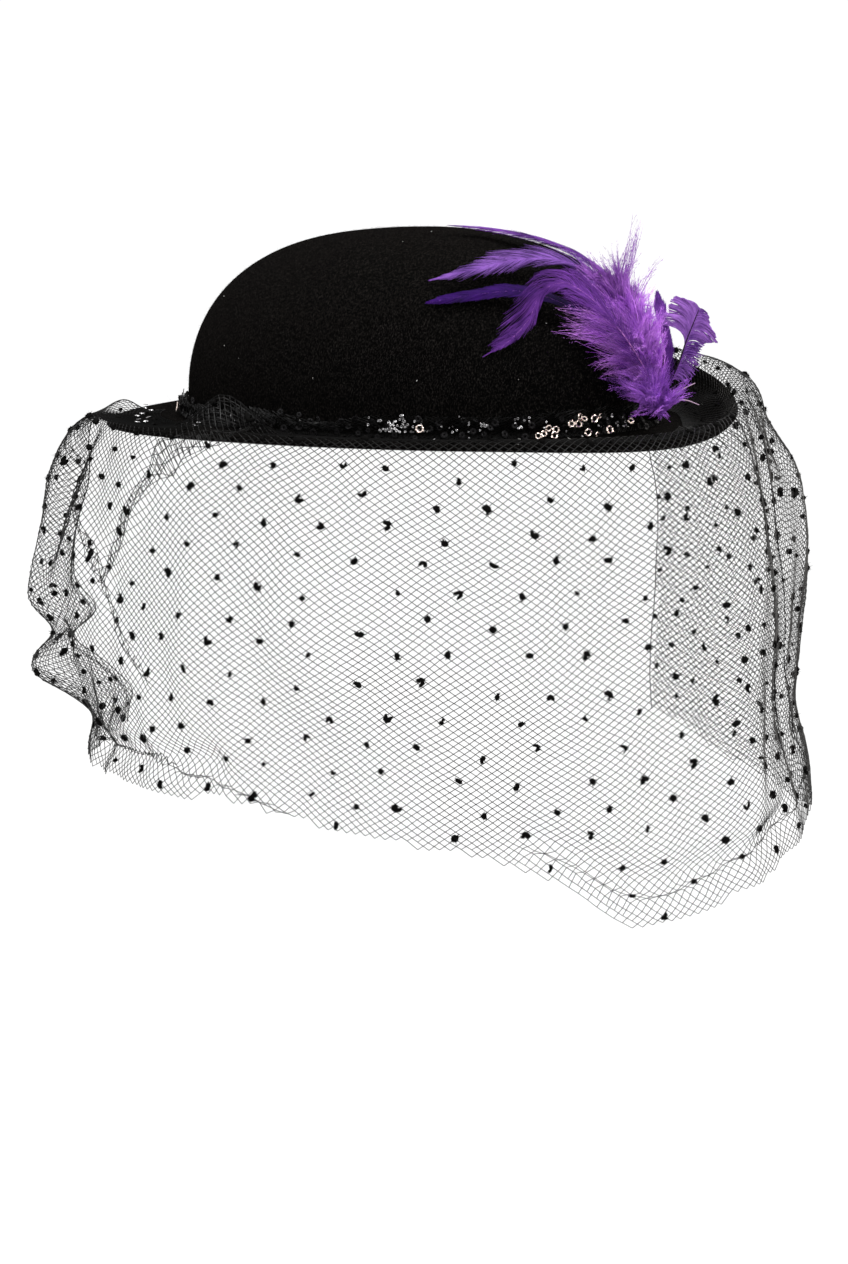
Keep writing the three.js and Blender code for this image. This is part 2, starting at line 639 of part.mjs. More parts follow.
const COLOURS = {
  felt: { color: 0x0d0c0d, roughness: 0.95, metalness: 0 },
  net: { color: 0x161616, roughness: 0.8, metalness: 0 },
  sequin: { color: 0x2a2220, roughness: 0.2, metalness: 0.9 },
  purple: { color: 0x7a2bd0, roughness: 0.6, metalness: 0 },
  violet: { color: 0x3a1596, roughness: 0.5, metalness: 0 },
  thread: { color: 0x141216, roughness: 0.8, metalness: 0 },
};

function sub(name, finish, geometry) {
  const mesh = new THREE.Mesh(geometry, new THREE.MeshStandardMaterial(COLOURS[finish]));
  mesh.name = name;
  return mesh;
}

const group = new THREE.Group();
group.add(
  sub('felt_hat', 'felt', feltHat()),
  sub('veil', 'net', veil()),
  sub('net_ruffle', 'net', netRuffle()),
  sub('sequin_braid', 'sequin', sequinBraid()),
  sub('quill_binding', 'thread', quillBinding()),
);
const featherRoom = [];
Object.entries(FEATHERS).forEach(([name, shape]) => {
  const finish = ['hackle_violet', 'spike_feather'].includes(name) ? 'violet' : 'purple';
  group.add(sub(name, finish, feather(shape)));
  featherRoom.push(feather(shape, SEAT_GAP));
});
const plume = tuftAround(PLUME, featherRoom);
group.add(sub('marabou_plume', 'purple', plume));
group.add(sub('base_down', 'purple', tuftAround(BASE_DOWN, [...featherRoom, fuse(tuft(PLUME))])));

export default group;
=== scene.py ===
import math
import bpy
import numpy as np
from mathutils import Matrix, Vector


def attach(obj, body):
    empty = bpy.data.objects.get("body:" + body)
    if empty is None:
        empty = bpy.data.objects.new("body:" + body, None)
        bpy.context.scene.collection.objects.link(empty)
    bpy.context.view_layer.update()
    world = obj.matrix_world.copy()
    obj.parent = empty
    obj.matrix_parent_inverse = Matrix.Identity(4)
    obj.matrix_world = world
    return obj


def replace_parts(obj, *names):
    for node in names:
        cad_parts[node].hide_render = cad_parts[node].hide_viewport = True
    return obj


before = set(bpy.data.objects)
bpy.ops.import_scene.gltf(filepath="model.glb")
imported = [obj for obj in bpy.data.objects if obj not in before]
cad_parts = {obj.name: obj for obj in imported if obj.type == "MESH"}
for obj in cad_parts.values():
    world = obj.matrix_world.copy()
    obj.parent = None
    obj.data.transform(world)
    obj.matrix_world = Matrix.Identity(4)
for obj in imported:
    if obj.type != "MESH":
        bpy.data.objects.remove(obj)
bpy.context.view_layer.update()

# Sizes are in millimetres and angles in degrees until a mesh is written. +Z is up, the front
# of the hat faces -Y and the wearer's left is +X. A bearing goes round the crown: 0 is the
# wearer's left, 90 the back, 180 the wearer's right and 270 the front.
MM = 0.001


def table(columns, *rows):
    """Named columns of a short table."""
    return dict(zip(columns.split(), np.array(rows, float).T))


# ---------------------------------------------------------------- driving sizes

CROWN = {"half_width": 79.0, "half_length": 95.0, "height": 71.5, "fullness": 2.5}
FELT = 2.0
ROOT_RADIUS = 5.0

# The brim by bearing: width along the felt, and its slope at the root and at the edge.
BRIM = table(
    "bearing width root edge",
    (0, 34, 22, 84), (30, 32, 12, 66), (60, 29, 0, 24), (90, 24, -4, 6), (120, 23, -8, 8),
    (150, 28, -2, 6), (190, 29, 3, 8), (230, 28, 0, 12), (270, 28, -18, 34),
    (300, 29, -18, 62), (330, 32, 6, 80),
)
# The veil by bearing: how far it stands out past the brim's edge at its fullest, the level
# of that fullest line, and the hem's reach past the edge and its level.
VEIL = table(
    "bearing full full_at hem hem_at",
    (0, 17, -56, 16, -128), (40, 17, -56, 16, -128), (80, 24, -62, 12, -132),
    (118, 27, -66, 8, -132), (134, 33, -66, 12, -132), (142, 25, -66, 12, -131),
    (150, 18, -66, 11, -130), (162, 15, -66, 11, -129), (174, 17, -66, 12, -127),
    (186, 21, -66, 13, -122), (202, 23, -66, 14, -126), (220, 22, -68, 16, -131),
    (236, 21, -72, 20, -142), (250, 24, -78, 24, -162), (262, 27, -84, 28, -160),
    (270, 29, -88, 30, -157), (276, 26, -90, 30, -155), (283, 22, -90, 30, -153),
    (291, 20, -90, 32, -151), (299, 24, -80, 35, -150), (305, 30, -66, 36, -152),
    (309, 34, -61, 37, -155), (314, 38, -59, 37, -156), (319, 36.5, -58, 34, -154),
    (324, 33, -56, 27, -149), (330, 27, -54, 21, -143), (342, 21, -54, 16, -135),
)
# Bearings of the strip's two cut ends, where they leave the brim and at the hem.
VEIL_FIRST = {"top": 121.0, "foot": 111.0}
VEIL_SECOND = {"top": 349.0, "foot": 346.0}
VEIL_GIRTH = 2.4           # millimetres of net for a degree of bearing
VEIL_LENGTH = 150.0        # millimetres of net from the brim's edge to the hem

# Broad folds: a crease from one place to another, a place being a bearing and a share of
# the drop. The depth goes in.
FOLDS = table(
    "bearing share to_bearing to_share width depth",
    (116, 0.2, 124, 0.5, 10, 6), (148, 0.1, 137, 0.4, 10, 8), (142, 0.6, 106, 0.6, 8, 7),
    (140, 0.71, 106, 0.7, 8, -8), (112, 0.87, 142, 0.85, 10, 6), (150, 0.9, 186, 0.86, 8, 5),
    (302, 0.74, 335, 0.74, 11, 3), (306, 0.24, 326, 0.22, 10, 5), (235, 0.9, 280, 0.88, 8, 4),
)
# Narrow pleats, where the net doubles back on itself: `fold` is how far it doubles and
# `width` how wide the doubling is.
PLEATS = table(
    "bearing share to_bearing to_share width fold",
    (187, 0.0, 177, 0.16, 5.0, 15.0), (176, 0.18, 162, 0.4, 3.3, 9.0),
    (120, 0.1, 116, 0.9, 2.4, 2.8), (139, 0.2, 156, 0.405, 2.3, 5.6),
    (156, 0.405, 171, 0.6, 2.1, 5.0), (146, 0.90, 172, 0.88, 2.4, 3.4),
    (172, 0.88, 196, 0.97, 2.0, 2.8), (282, 0.05, 288, 0.7, 3.0, 8.0),
    (293, 0.0, 299, 0.76, 3.0, 9.0), (309, 0.1, 307, 0.5, 1.8, 3.8),
    (268, 0.9, 300, 0.86, 2.0, 2.2), (236, 0.93, 262, 0.92, 2.0, 2.0),
    (272, 0, 277, 0.16, 1.8, 3.2), (266, 0, 270, 0.12, 1.8, 3.0),
)
# Net that puffs up off the brim: its middle by bearing and length from the ruffle, its height,
# and how far it runs down the net and, in degrees, along it.
PUFFS = table(
    "bearing along height reach span",
    (179, 10, 13, 8, 7), (120, 16, 4, 6, 6), (310, 12, 3, 6, 8),
)

# Gathered net round the crown: height and how far its top leans out.
RUFFLE = table(
    "bearing height flare",
    (0, 8, 1.2), (60, 8, 1.2), (120, 7, 1.2), (150, 6.5, 1.5), (164, 7, 2), (174, 9, 3),
    (182, 7.5, 2.5), (190, 6, 1.5), (203, 6.5, 1.5), (215, 8.5, 1.5), (240, 9, 1.5),
    (270, 9.5, 1.8), (300, 9, 1.5), (330, 8, 1.2),
)
BRAID_OUT = 2.65           # from the crown's wall to the face of the sequin braid
# The thread binding round the quills: its middle, its radius and its length along the band.
BINDING = {"bearing": 276.0, "out": 7.6, "up": 7.5, "radius": 3.0, "length": 11.0}

# One diamond of the net. The threads of the gathered net are a little finer than the veil's.
MESH = {"width": 3.5, "height": 2.5, "thread": 0.255}
RUFFLE_THREAD = 0.9 * MESH["thread"]
# The dots: how far apart they are in a row, how far apart the rows are, and half a dot's length.
DOT = {"across": 21.5, "down": 10.4, "size": 1.45}
# Rows of the hat's grid round the root of the brim, and from there to its edge for what lies on it.
ROOT_ROWS = 6
BRIM_STEPS = 24


# ---------------------------------------------------------------- shape of the hat

def rad(degrees):
    """Degrees as radians."""
    return np.radians(degrees)


def unit(v):
    """Vectors along the last axis, each brought to length one."""
    return v / np.maximum(np.linalg.norm(v, axis=-1, keepdims=True), 1e-9)


def smooth(x):
    """An even step from 0 to 1."""
    s = np.clip(x, 0, 1)
    return s * s * (3 - 2 * s)


def around(rows, column, bearing):
    """Smooth closed curve through one column of a table sorted by bearing."""
    at = rows["bearing"]
    value = rows[column]
    at = np.concatenate([at[-2:] - 360, at, at[:2] + 360])
    value = np.concatenate([value[-2:], value, value[:2]])
    slope = np.gradient(value, 1.0)
    slope[1:-1] = (value[2:] - value[:-2]) / (at[2:] - at[:-2])
    turn = np.mod(bearing, 360.0)
    i = np.clip(np.searchsorted(at, turn, side="right") - 1, 1, len(at) - 3)
    span = at[i + 1] - at[i]
    s = (turn - at[i]) / span
    return (
        (2 * s**3 - 3 * s**2 + 1) * value[i] + (s**3 - 2 * s**2 + s) * span * slope[i]
        + (3 * s**2 - 2 * s**3) * value[i + 1] + (s**3 - s**2) * span * slope[i + 1]
    )


def beside_crown(bearing, out, up):
    """A point that stands out from the crown's foot and up above it."""
    t = rad(bearing)
    c, s = np.cos(t), np.sin(t)
    away_x, away_y = CROWN["half_length"] * c, CROWN["half_width"] * s
    size = np.hypot(away_x, away_y)
    x = CROWN["half_width"] * c + out * away_x / size
    y = CROWN["half_length"] * s + out * away_y / size
    return np.stack(np.broadcast_arrays(x, y, up * np.ones_like(x)), axis=-1)


def on_crown(bearing, rise, inset=0.0):
    """A point of the dome at a rise of 0 (foot) to 90 (top), inset into the felt."""
    power = 2 / CROWN["fullness"]
    t = rad(bearing)
    reach = np.clip(np.cos(rad(rise)), 0, None) ** power
    return np.stack(np.broadcast_arrays(
        (CROWN["half_width"] - inset) * reach * np.cos(t),
        (CROWN["half_length"] - inset) * reach * np.sin(t),
        (CROWN["height"] - inset) * np.sin(rad(rise)) ** power * np.ones_like(t),
    ), axis=-1)


def brim_path(bearing, steps):
    """Top face of the brim from the crown's wall to the edge: out, up and lean by row."""
    root = around(BRIM, "root", bearing)[..., None]
    edge = around(BRIM, "edge", bearing)[..., None]
    step = around(BRIM, "width", bearing)[..., None] / steps
    turn = np.linspace(0, 1, ROOT_ROWS + 1)[:-1] * (root + 90) - 90
    lean_root = np.concatenate([turn, root], axis=-1)
    out_root = ROOT_RADIUS * (1 + np.sin(rad(lean_root)))
    up_root = ROOT_RADIUS * (1 - np.cos(rad(lean_root)))
    k = np.arange(1, steps + 1)
    lean = root + (edge - root) * (k / steps) ** 1.5
    middle = rad(root + (edge - root) * ((k - 0.5) / steps) ** 1.5)
    out = out_root[..., -1:] + np.cumsum(step * np.cos(middle), axis=-1)
    up = up_root[..., -1:] + np.cumsum(step * np.sin(middle), axis=-1)
    return (
        np.concatenate([out_root, out], axis=-1),
        np.concatenate([up_root, up], axis=-1),
        np.concatenate([lean_root, lean], axis=-1),
    )


def lifted(out, up, lean, height):
    """The brim's path moved off the felt by a height."""
    return out - height * np.sin(rad(lean)), up + height * np.cos(rad(lean))


# ---------------------------------------------------------------- mesh tools

def new_piece(name, points, faces, finish, slot, smooth_faces=True, uv=None, sizes=None):
    """A mesh object from points in millimetres and faces with the same number of corners.

    With `sizes`, the corners of each face, `faces` is the row of all the faces' corners."""
    mesh = bpy.data.meshes.new(name)
    faces = np.asarray(faces, np.int32)
    if sizes is None:
        sizes = np.full(len(faces), faces.shape[1], np.int32)
        corners = faces.ravel()
    else:
        corners = faces
    mesh.vertices.add(len(points))
    mesh.vertices.foreach_set("co", (np.asarray(points, np.float32) * MM).ravel())
    mesh.loops.add(len(corners))
    mesh.loops.foreach_set("vertex_index", corners)
    mesh.polygons.add(len(sizes))
    starts = np.concatenate([[0], np.cumsum(sizes)[:-1]]).astype(np.int32)
    mesh.polygons.foreach_set("loop_start", starts)
    mesh.polygons.foreach_set("loop_total", sizes)
    mesh.polygons.foreach_set("use_smooth", np.full(len(sizes), smooth_faces))
    if uv is not None:
        layer = mesh.uv_layers.new(name="OFBake")
        layer.data.foreach_set("uv", np.asarray(uv, np.float32)[corners].ravel())
    mesh.update(calc_edges=True)
    mesh.validate()
    mesh.materials.append(finish)
    piece = bpy.data.objects.new(name, mesh)
    bpy.context.scene.collection.objects.link(piece)
    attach(piece, "root")
    return piece


def ring_faces(rings, sides):
    """Quads between the neighbours of a row of closed rings of points."""
    r = np.arange(rings - 1)[:, None] * sides
    i = np.arange(sides)[None, :]
    j = (i + 1) % sides
    return np.stack([r + i, r + j, r + sides + j, r + sides + i], axis=-1).reshape(-1, 4)


def copies(faces, count, points):
    """The same faces for each of a count of meshes with that many points."""
    return (faces[None] + (np.arange(count) * points)[:, None, None]).reshape(-1, faces.shape[1])


def ribbons(paths, widths, across):
    """Flat strips along paths (n, k, 3) with widths (n, k) across directions (n, k, 3)."""
    n, k, _ = paths.shape
    half = 0.5 * widths[..., None] * across
    points = np.stack([paths - half, paths + half], axis=2).reshape(-1, 3)
    a = np.arange(k - 1) * 2
    return points, copies(np.stack([a, a + 1, a + 3, a + 2], axis=-1), n, 2 * k)


def spikes(roots, tips, widths, across):
    """Single-triangle hairs from roots to tips."""
    half = 0.5 * widths[..., None] * across
    points = np.stack([roots - half, roots + half, tips], axis=-2).reshape(-1, 3)
    faces = np.arange(len(points)).reshape(-1, 3)
    return points, faces


def tubes(paths, radii, sides):
    """Open tubes along paths (n, k, 3) with radii (n, k)."""
    n, k, _ = paths.shape
    along = np.empty_like(paths)
    along[:, 1:-1] = paths[:, 2:] - paths[:, :-2]
    along[:, 0] = paths[:, 1] - paths[:, 0]
    along[:, -1] = paths[:, -1] - paths[:, -2]
    along = unit(along)
    upright = np.abs(along[..., 2:3]) >= 0.9
    helper = np.where(upright, np.array([1.0, 0.0, 0.0]), np.array([0.0, 0.0, 1.0]))
    first = unit(np.cross(helper, along))
    second = np.cross(along, first)
    turn = 2 * np.pi * np.arange(sides) / sides
    points = (
        paths[:, :, None, :]
        + radii[:, :, None, None] * (
            np.cos(turn)[:, None] * first[:, :, None, :]
            + np.sin(turn)[:, None] * second[:, :, None, :]
        )
    ).reshape(-1, 3)
    return points, copies(ring_faces(k, sides), n, k * sides)


def joined(*parts):
    """Several meshes as one: points, the corners of all faces and each face's corner count."""
    points = np.concatenate([p for p, _ in parts])
    offsets = np.cumsum([0] + [len(p) for p, _ in parts[:-1]])
    corners = np.concatenate([(f + o).ravel() for (_, f), o in zip(parts, offsets)])
    sizes = np.concatenate([np.full(len(f), f.shape[1], np.int32) for _, f in parts])
    return points, corners.astype(np.int32), sizes


def stacked(parts):
    """Several meshes of equal faces as one: points and faces."""
    offsets = np.cumsum([0] + [len(p) for p, _ in parts[:-1]])
    faces = [f + offset for (_, f), offset in zip(parts, offsets)]
    return np.concatenate([p for p, _ in parts]), np.concatenate(faces)


def along_line(share, line, at):
    """Values of a line, given at rising shares of its length, at the shares asked for."""
    return np.stack([np.interp(at, share, line[:, i]) for i in range(3)], axis=-1)


def curve_through(points, count):
    """Centripetal curve through points, sampled evenly: places, directions and its length."""
    p = np.asarray(points, float)
    p = np.concatenate([[2 * p[0] - p[1]], p, [2 * p[-1] - p[-2]]])
    samples = []
    for a, b, c, d in zip(p[:-3], p[1:-2], p[2:-1], p[3:]):
        t0, t1 = 0.0, max(np.linalg.norm(b - a), 1e-6) ** 0.5
        t2 = t1 + max(np.linalg.norm(c - b), 1e-6) ** 0.5
        t3 = t2 + max(np.linalg.norm(d - c), 1e-6) ** 0.5
        t = np.linspace(t1, t2, 40, endpoint=False)[:, None]
        ab = (t1 - t) / (t1 - t0) * a + (t - t0) / (t1 - t0) * b
        bc = (t2 - t) / (t2 - t1) * b + (t - t1) / (t2 - t1) * c
        cd = (t3 - t) / (t3 - t2) * c + (t - t2) / (t3 - t2) * d
        ac = (t2 - t) / (t2 - t0) * ab + (t - t0) / (t2 - t0) * bc
        bd = (t3 - t) / (t3 - t1) * bc + (t - t1) / (t3 - t1) * cd
        samples.append((t2 - t) / (t2 - t1) * ac + (t - t1) / (t2 - t1) * bd)
    line = np.concatenate(samples + [p[-2][None]])
    run = np.concatenate([[0], np.cumsum(np.linalg.norm(np.diff(line, axis=0), axis=1))])
    even = along_line(run, line, np.linspace(0, run[-1], count))
    return even, unit(np.gradient(even, axis=0)), run[-1]


# ---------------------------------------------------------------- finishes

def socket_group(name, inputs, outputs):
    """An empty shader node group with its sockets."""
    group = bpy.data.node_groups.new(name, "ShaderNodeTree")
    for label, default in inputs.items():
        socket = group.interface.new_socket(
            label, in_out="INPUT", socket_type="NodeSocketFloat",
        )
        socket.default_value = default
    for label in outputs:
        group.interface.new_socket(label, in_out="OUTPUT", socket_type="NodeSocketFloat")
    given = group.nodes.new("NodeGroupInput").outputs
    return group, given, group.nodes.new("NodeGroupOutput").inputs


def shader_node(tree, kind, **values):
    """A new node of a kind with its own sockets set."""
    node = tree.nodes.new("ShaderNode" + kind)
    for label, value in values.items():
        node.inputs[label.replace("_", " ")].default_value = value
    return node


def fibre_grain_group():
    """Fine matted fibres: a height that goes to bump and a fleck mask."""
    group, given, result = socket_group(
        "fibre grain", {"Scale": 900.0, "Stretch": 6.0}, ("Height", "Fleck"),
    )
    link = group.links.new
    place = shader_node(group, "TexCoord")
    heights = []
    for turn in ((0.3, 0.2, 0.9), (1.2, 0.7, -0.5)):
        spin = shader_node(group, "Mapping", Rotation=turn)
        stretch = shader_node(group, "CombineXYZ", X=1.0, Z=1.0)
        link(given["Stretch"], stretch.inputs["Y"])
        link(place.outputs["Object"], spin.inputs["Vector"])
        link(stretch.outputs["Vector"], spin.inputs["Scale"])
        noise = shader_node(group, "TexNoise", Detail=3.0, Roughness=0.6)
        link(spin.outputs["Vector"], noise.inputs["Vector"])
        link(given["Scale"], noise.inputs["Scale"])
        heights.append(noise)
    most = shader_node(group, "Math")
    most.operation = "MAXIMUM"
    link(heights[0].outputs["Fac"], most.inputs[0])
    link(heights[1].outputs["Fac"], most.inputs[1])
    link(most.outputs["Value"], result["Height"])
    fleck = shader_node(group, "MapRange", From_Min=0.55, From_Max=0.8)
    link(most.outputs["Value"], fleck.inputs["Value"])
    link(fleck.outputs["Result"], result["Fleck"])
    return group


def patchiness_group():
    """Slow change over a surface, for uneven dye and wear."""
    group, given, result = socket_group(
        "patchiness", {"Scale": 40.0, "Low": 0.0, "High": 1.0}, ("Value",),
    )
    link = group.links.new
    place = shader_node(group, "TexCoord")
    noise = shader_node(group, "TexNoise", Detail=4.0)
    spread = shader_node(group, "MapRange", From_Min=0.3, From_Max=0.7)
    link(place.outputs["Object"], noise.inputs["Vector"])
    link(given["Scale"], noise.inputs["Scale"])
    link(noise.outputs["Fac"], spread.inputs["Value"])
    link(given["Low"], spread.inputs["To Min"])
    link(given["High"], spread.inputs["To Max"])
    link(spread.outputs["Result"], result["Value"])
    return group


def barb_streaks_group():
    """Light and dark streaks along the barbs, from the map that runs along and across a feather."""
    group, given, result = socket_group(
        "barb streaks", {"Count": 200.0, "Patches": 60.0}, ("Value",),
    )
    link = group.links.new
    place = shader_node(group, "UVMap")
    place.uv_map = "OFBake"
    stretch = shader_node(group, "CombineXYZ", Y=2.2)
    spin = shader_node(group, "Mapping")
    fine = shader_node(group, "TexNoise", Scale=1.0, Detail=3.0, Roughness=0.75)
    link(given["Count"], stretch.inputs["X"])
    link(place.outputs["UV"], spin.inputs["Vector"])
    link(stretch.outputs["Vector"], spin.inputs["Scale"])
    link(spin.outputs["Vector"], fine.inputs["Vector"])
    spot = shader_node(group, "TexCoord")
    broad = shader_node(group, "TexNoise", Detail=2.0)
    link(spot.outputs["Object"], broad.inputs["Vector"])
    link(given["Patches"], broad.inputs["Scale"])
    both = shader_node(group, "Math")
    both.operation = "ADD"
    link(fine.outputs["Fac"], both.inputs[0])
    link(broad.outputs["Fac"], both.inputs[1])
    spread = shader_node(group, "MapRange", From_Min=0.72, From_Max=1.3)
    link(both.outputs["Value"], spread.inputs["Value"])
    link(spread.outputs["Result"], result["Value"])
    return group


FIBRE_GRAIN = fibre_grain_group()
PATCHINESS = patchiness_group()
BARB_STREAKS = barb_streaks_group()


def finish(name, **values):
    """A material, its node tree and its shader, with the shader's own sockets set."""
    material = bpy.data.materials.new(name)
    material.use_nodes = True
    shader = material.node_tree.nodes["Principled BSDF"]
    for label, value in values.items():
        shader.inputs[label.replace("_", " ")].default_value = value
    return material, material.node_tree, shader


def placed(tree, group, **values):
    """An effect's group in a material, with its own values."""
    node = tree.nodes.new("ShaderNodeGroup")
    node.node_tree = group
    for label, value in values.items():
        node.inputs[label].default_value = value
    return node


def colour_by(tree, shader, low, high, mask):
    """Base colour from low to high by a mask."""
    blend = tree.nodes.new("ShaderNodeMix")
    blend.data_type = "RGBA"
    blend.inputs["A"].default_value = (*low, 1)
    blend.inputs["B"].default_value = (*high, 1)
    tree.links.new(mask, blend.inputs["Factor"])
    tree.links.new(blend.outputs["Result"], shader.inputs["Base Color"])


def rough_by_patches(tree, shader, scale, low, high):
    """Roughness that wanders from patch to patch."""
    patches = placed(tree, PATCHINESS, Scale=scale, Low=low, High=high)
    tree.links.new(patches.outputs["Value"], shader.inputs["Roughness"])


def wool_felt():
    """Matt black felt with brown flecks of fibre."""
    material, tree, shader = finish(
        "wool felt", Roughness=1.0, Specular_IOR_Level=0.0, Sheen_Weight=0.004,
        Sheen_Roughness=0.6, Sheen_Tint=(0.9, 0.8, 0.75, 1),
    )
    grain = placed(tree, FIBRE_GRAIN, Scale=1080.0, Stretch=3.0)
    black, fleck = (0.0009, 0.0009, 0.0009), (0.0225, 0.0199, 0.0183)
    colour_by(tree, shader, black, fleck, grain.outputs["Fleck"])
    matted = shader_node(tree, "Bump", Strength=0.9, Distance=0.0006)
    tree.links.new(grain.outputs["Height"], matted.inputs["Height"])
    tree.links.new(matted.outputs["Normal"], shader.inputs["Normal"])
    return material


def black_thread(name, roughness, specular, grey=0.003):
    """Black yarn of an uneven roughness."""
    material, tree, shader = finish(
        name, Base_Color=(grey, grey * 0.95, grey * 0.92, 1), Specular_IOR_Level=specular,
    )
    rough_by_patches(tree, shader, 260.0, roughness - 0.12, roughness + 0.15)
    return material


def dyed_feather(name, shade, light, glow, roughness, count, sheen):
    """Dyed barbs, streaked from a shade to a light colour, with a glow at grazing angles."""
    material, tree, shader = finish(
        name, Roughness=roughness, Specular_IOR_Level=0.06, Sheen_Weight=sheen,
        Sheen_Roughness=0.4, Sheen_Tint=(*glow, 1),
    )
    streaks = placed(tree, BARB_STREAKS, Count=count, Patches=90.0)
    colour_by(tree, shader, shade, light, streaks.outputs["Value"])
    return material


def plain_gloss(name, colour, roughness, metallic=0.0):
    """One colour with a gloss that changes slowly over the surface."""
    material, tree, shader = finish(
        name, Base_Color=(*colour, 1), Metallic=metallic,
        Specular_IOR_Level=0.5 if metallic else 0.12,
    )
    rough_by_patches(tree, shader, 900.0, roughness * 0.6, roughness * 1.6)
    return material


FELT_FINISH = wool_felt()
NAP_FINISH = black_thread("felt nap", 0.8, 0.06, 0.012)
NET_FINISH = black_thread("net thread", 0.5, 0.13)
CHENILLE_FINISH = black_thread("chenille", 0.9, 0.03)
BRAID_FINISH = black_thread("gathered net", 0.5, 0.1, 0.002)
DARK_SEQUIN = plain_gloss("dark sequin", (0.004, 0.0035, 0.004), 0.45)
SILVER_SEQUIN = plain_gloss("small sequin", (0.5, 0.49, 0.5), 0.2, 1.0)
ROSE_SEQUIN = plain_gloss("rose sequin", (0.95, 0.8, 0.72), 0.16, 1.0)
PURPLE = dyed_feather(
    "purple feather", (0.045, 0.01, 0.12), (0.3, 0.125, 0.47), (0.9, 0.7, 0.95), 0.6, 200.0, 0.06,
)
DEEP_PURPLE = dyed_feather(
    "deep purple feather", (0.02, 0.003, 0.06), (0.17, 0.045, 0.33), (0.8, 0.6, 0.95), 0.6,
    200.0, 0.05,
)
MID_PURPLE = dyed_feather(
    "mid purple feather", (0.026, 0.006, 0.075), (0.2, 0.08, 0.37), (0.85, 0.65, 0.95), 0.6,
    320.0, 0.03,
)
PALE_DOWN = dyed_feather(
    "pale purple down", (0.21, 0.032, 0.41), (0.8, 0.35, 1.0), (0.66, 0.42, 1.0), 0.7, 60.0, 0.08,
)
# A darker copy of the pale down for the locks at the top of the plume: painted shade that holds
# down the bright top light there.
DOWN_TIPS_PAINTED_SHADE = dyed_feather(
    "purple down tips, painted shade", (0.09, 0.014, 0.19), (0.44, 0.17, 0.62), (0.7, 0.42, 1.0), 0.7, 60.0, 0.04,
)
PURPLE_DOWN = dyed_feather(
    "purple down", (0.07, 0.01, 0.19), (0.58, 0.2, 0.9), (0.7, 0.42, 1.0), 0.7, 60.0, 0.16,
)
VIOLET = dyed_feather(
    "violet feather", (0.002, 0.0006, 0.008), (0.028, 0.002, 0.1), (0.5, 0.4, 0.9), 0.7, 200.0, 0.0,
)
PURPLE_QUILL = plain_gloss("quill", (0.26, 0.07, 0.42), 0.5)
DARK_QUILL = plain_gloss("dark quill", (0.01, 0.004, 0.014), 0.4)
PINK_QUILL = plain_gloss("pink quill", (0.45, 0.16, 0.46), 0.4)
PALE_QUILL = plain_gloss("pale quill", (0.42, 0.28, 0.4), 0.35)
LINT = plain_gloss("lint", (0.5, 0.5, 0.48), 0.8)


# ---------------------------------------------------------------- felt hat

HAT_COLUMNS = 288
HAT_ROWS = {"outside": 46, "brim": 26, "inside": 30}
TOP_RISE = 89.4            # the last ring round the middle of the crown's top


def hat_rings():
    """Rings of points over the outside, round the lip and back over the inside."""
    bearing = np.arange(HAT_COLUMNS) * 360.0 / HAT_COLUMNS
    foot = math.degrees(math.asin((ROOT_RADIUS / CROWN["height"]) ** (CROWN["fullness"] / 2)))

    def dome(inset, rows):
        rises = np.linspace(TOP_RISE, foot, rows + 1)[:-1]
        return [on_crown(bearing, rise, inset) for rise in rises]

    out, up, lean = brim_path(bearing, HAT_ROWS["brim"])

    def rows(height):
        o, u = lifted(out, up, lean, height)
        return [beside_crown(bearing, o[:, k], u[:, k]) for k in range(o.shape[1])]

    lip = []
    half = FELT / 2
    edge_out, edge_up = lifted(out[:, -1], up[:, -1], lean[:, -1], -half)
    a = rad(lean[:, -1])
    for turn in (60, 30, 0, -30, -60):
        along, over = half * math.cos(math.radians(turn)), half * math.sin(math.radians(turn))
        lip.append(beside_crown(
            bearing,
            edge_out + along * np.cos(a) - over * np.sin(a),
            edge_up + along * np.sin(a) + over * np.cos(a),
        ))
    outside, inside = dome(0.0, HAT_ROWS["outside"]), dome(FELT, HAT_ROWS["inside"])
    return np.array(outside + rows(0.0) + lip + rows(-FELT)[::-1] + inside[::-1])


def uneven(points, size, amount, seed):
    """Slow random waves at points, from a few crossed sines."""
    local = np.random.default_rng(seed)
    total = np.zeros(points.shape[:-1])
    for _ in range(7):
        way = unit(local.normal(size=3)) * 2 * np.pi / (size * local.uniform(0.6, 1.6))
        total += np.sin(points @ way + local.uniform(0, 6.28))
    return amount * total / 7**0.5


def felt_hat():
    """The crown and brim, a little uneven above the brim; gives back its rings of points."""
    rings = hat_rings()
    rows, columns, _ = rings.shape
    blown = rings * (1 + uneven(rings, 60, 0.003, 3)[..., None])
    weight = smooth((rings[..., 2] - 6) / 14)[..., None]
    rings = rings * (1 - weight) + blown * weight
    points = rings.reshape(-1, 3)
    top, under = len(points), len(points) + 1
    points = np.concatenate([points, rings[0].mean(axis=0)[None], rings[-1].mean(axis=0)[None]])
    c = np.arange(columns)
    d = (c + 1) % columns
    last = (rows - 1) * columns
    caps = np.concatenate([
        np.stack([c, d, np.full(columns, top)], axis=1),
        np.stack([last + d, last + c, np.full(columns, under)], axis=1),
    ])
    no_points = points[:0]
    _, corners, sizes = joined((no_points, ring_faces(rows, columns)[:, ::-1]), (no_points, caps))
    turn = np.tile(np.arange(columns) / columns, rows)
    down = np.repeat(np.arange(rows) / (rows - 1), columns)
    uv = np.concatenate([
        np.stack([np.abs(2 * turn - 1), down], axis=1), [[0.5, 0.0], [0.5, 1.0]],
    ])
    hat = new_piece("felt_shell", points, corners, FELT_FINISH, "felt", uv=uv, sizes=sizes)
    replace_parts(hat, "felt_hat")
    return rings


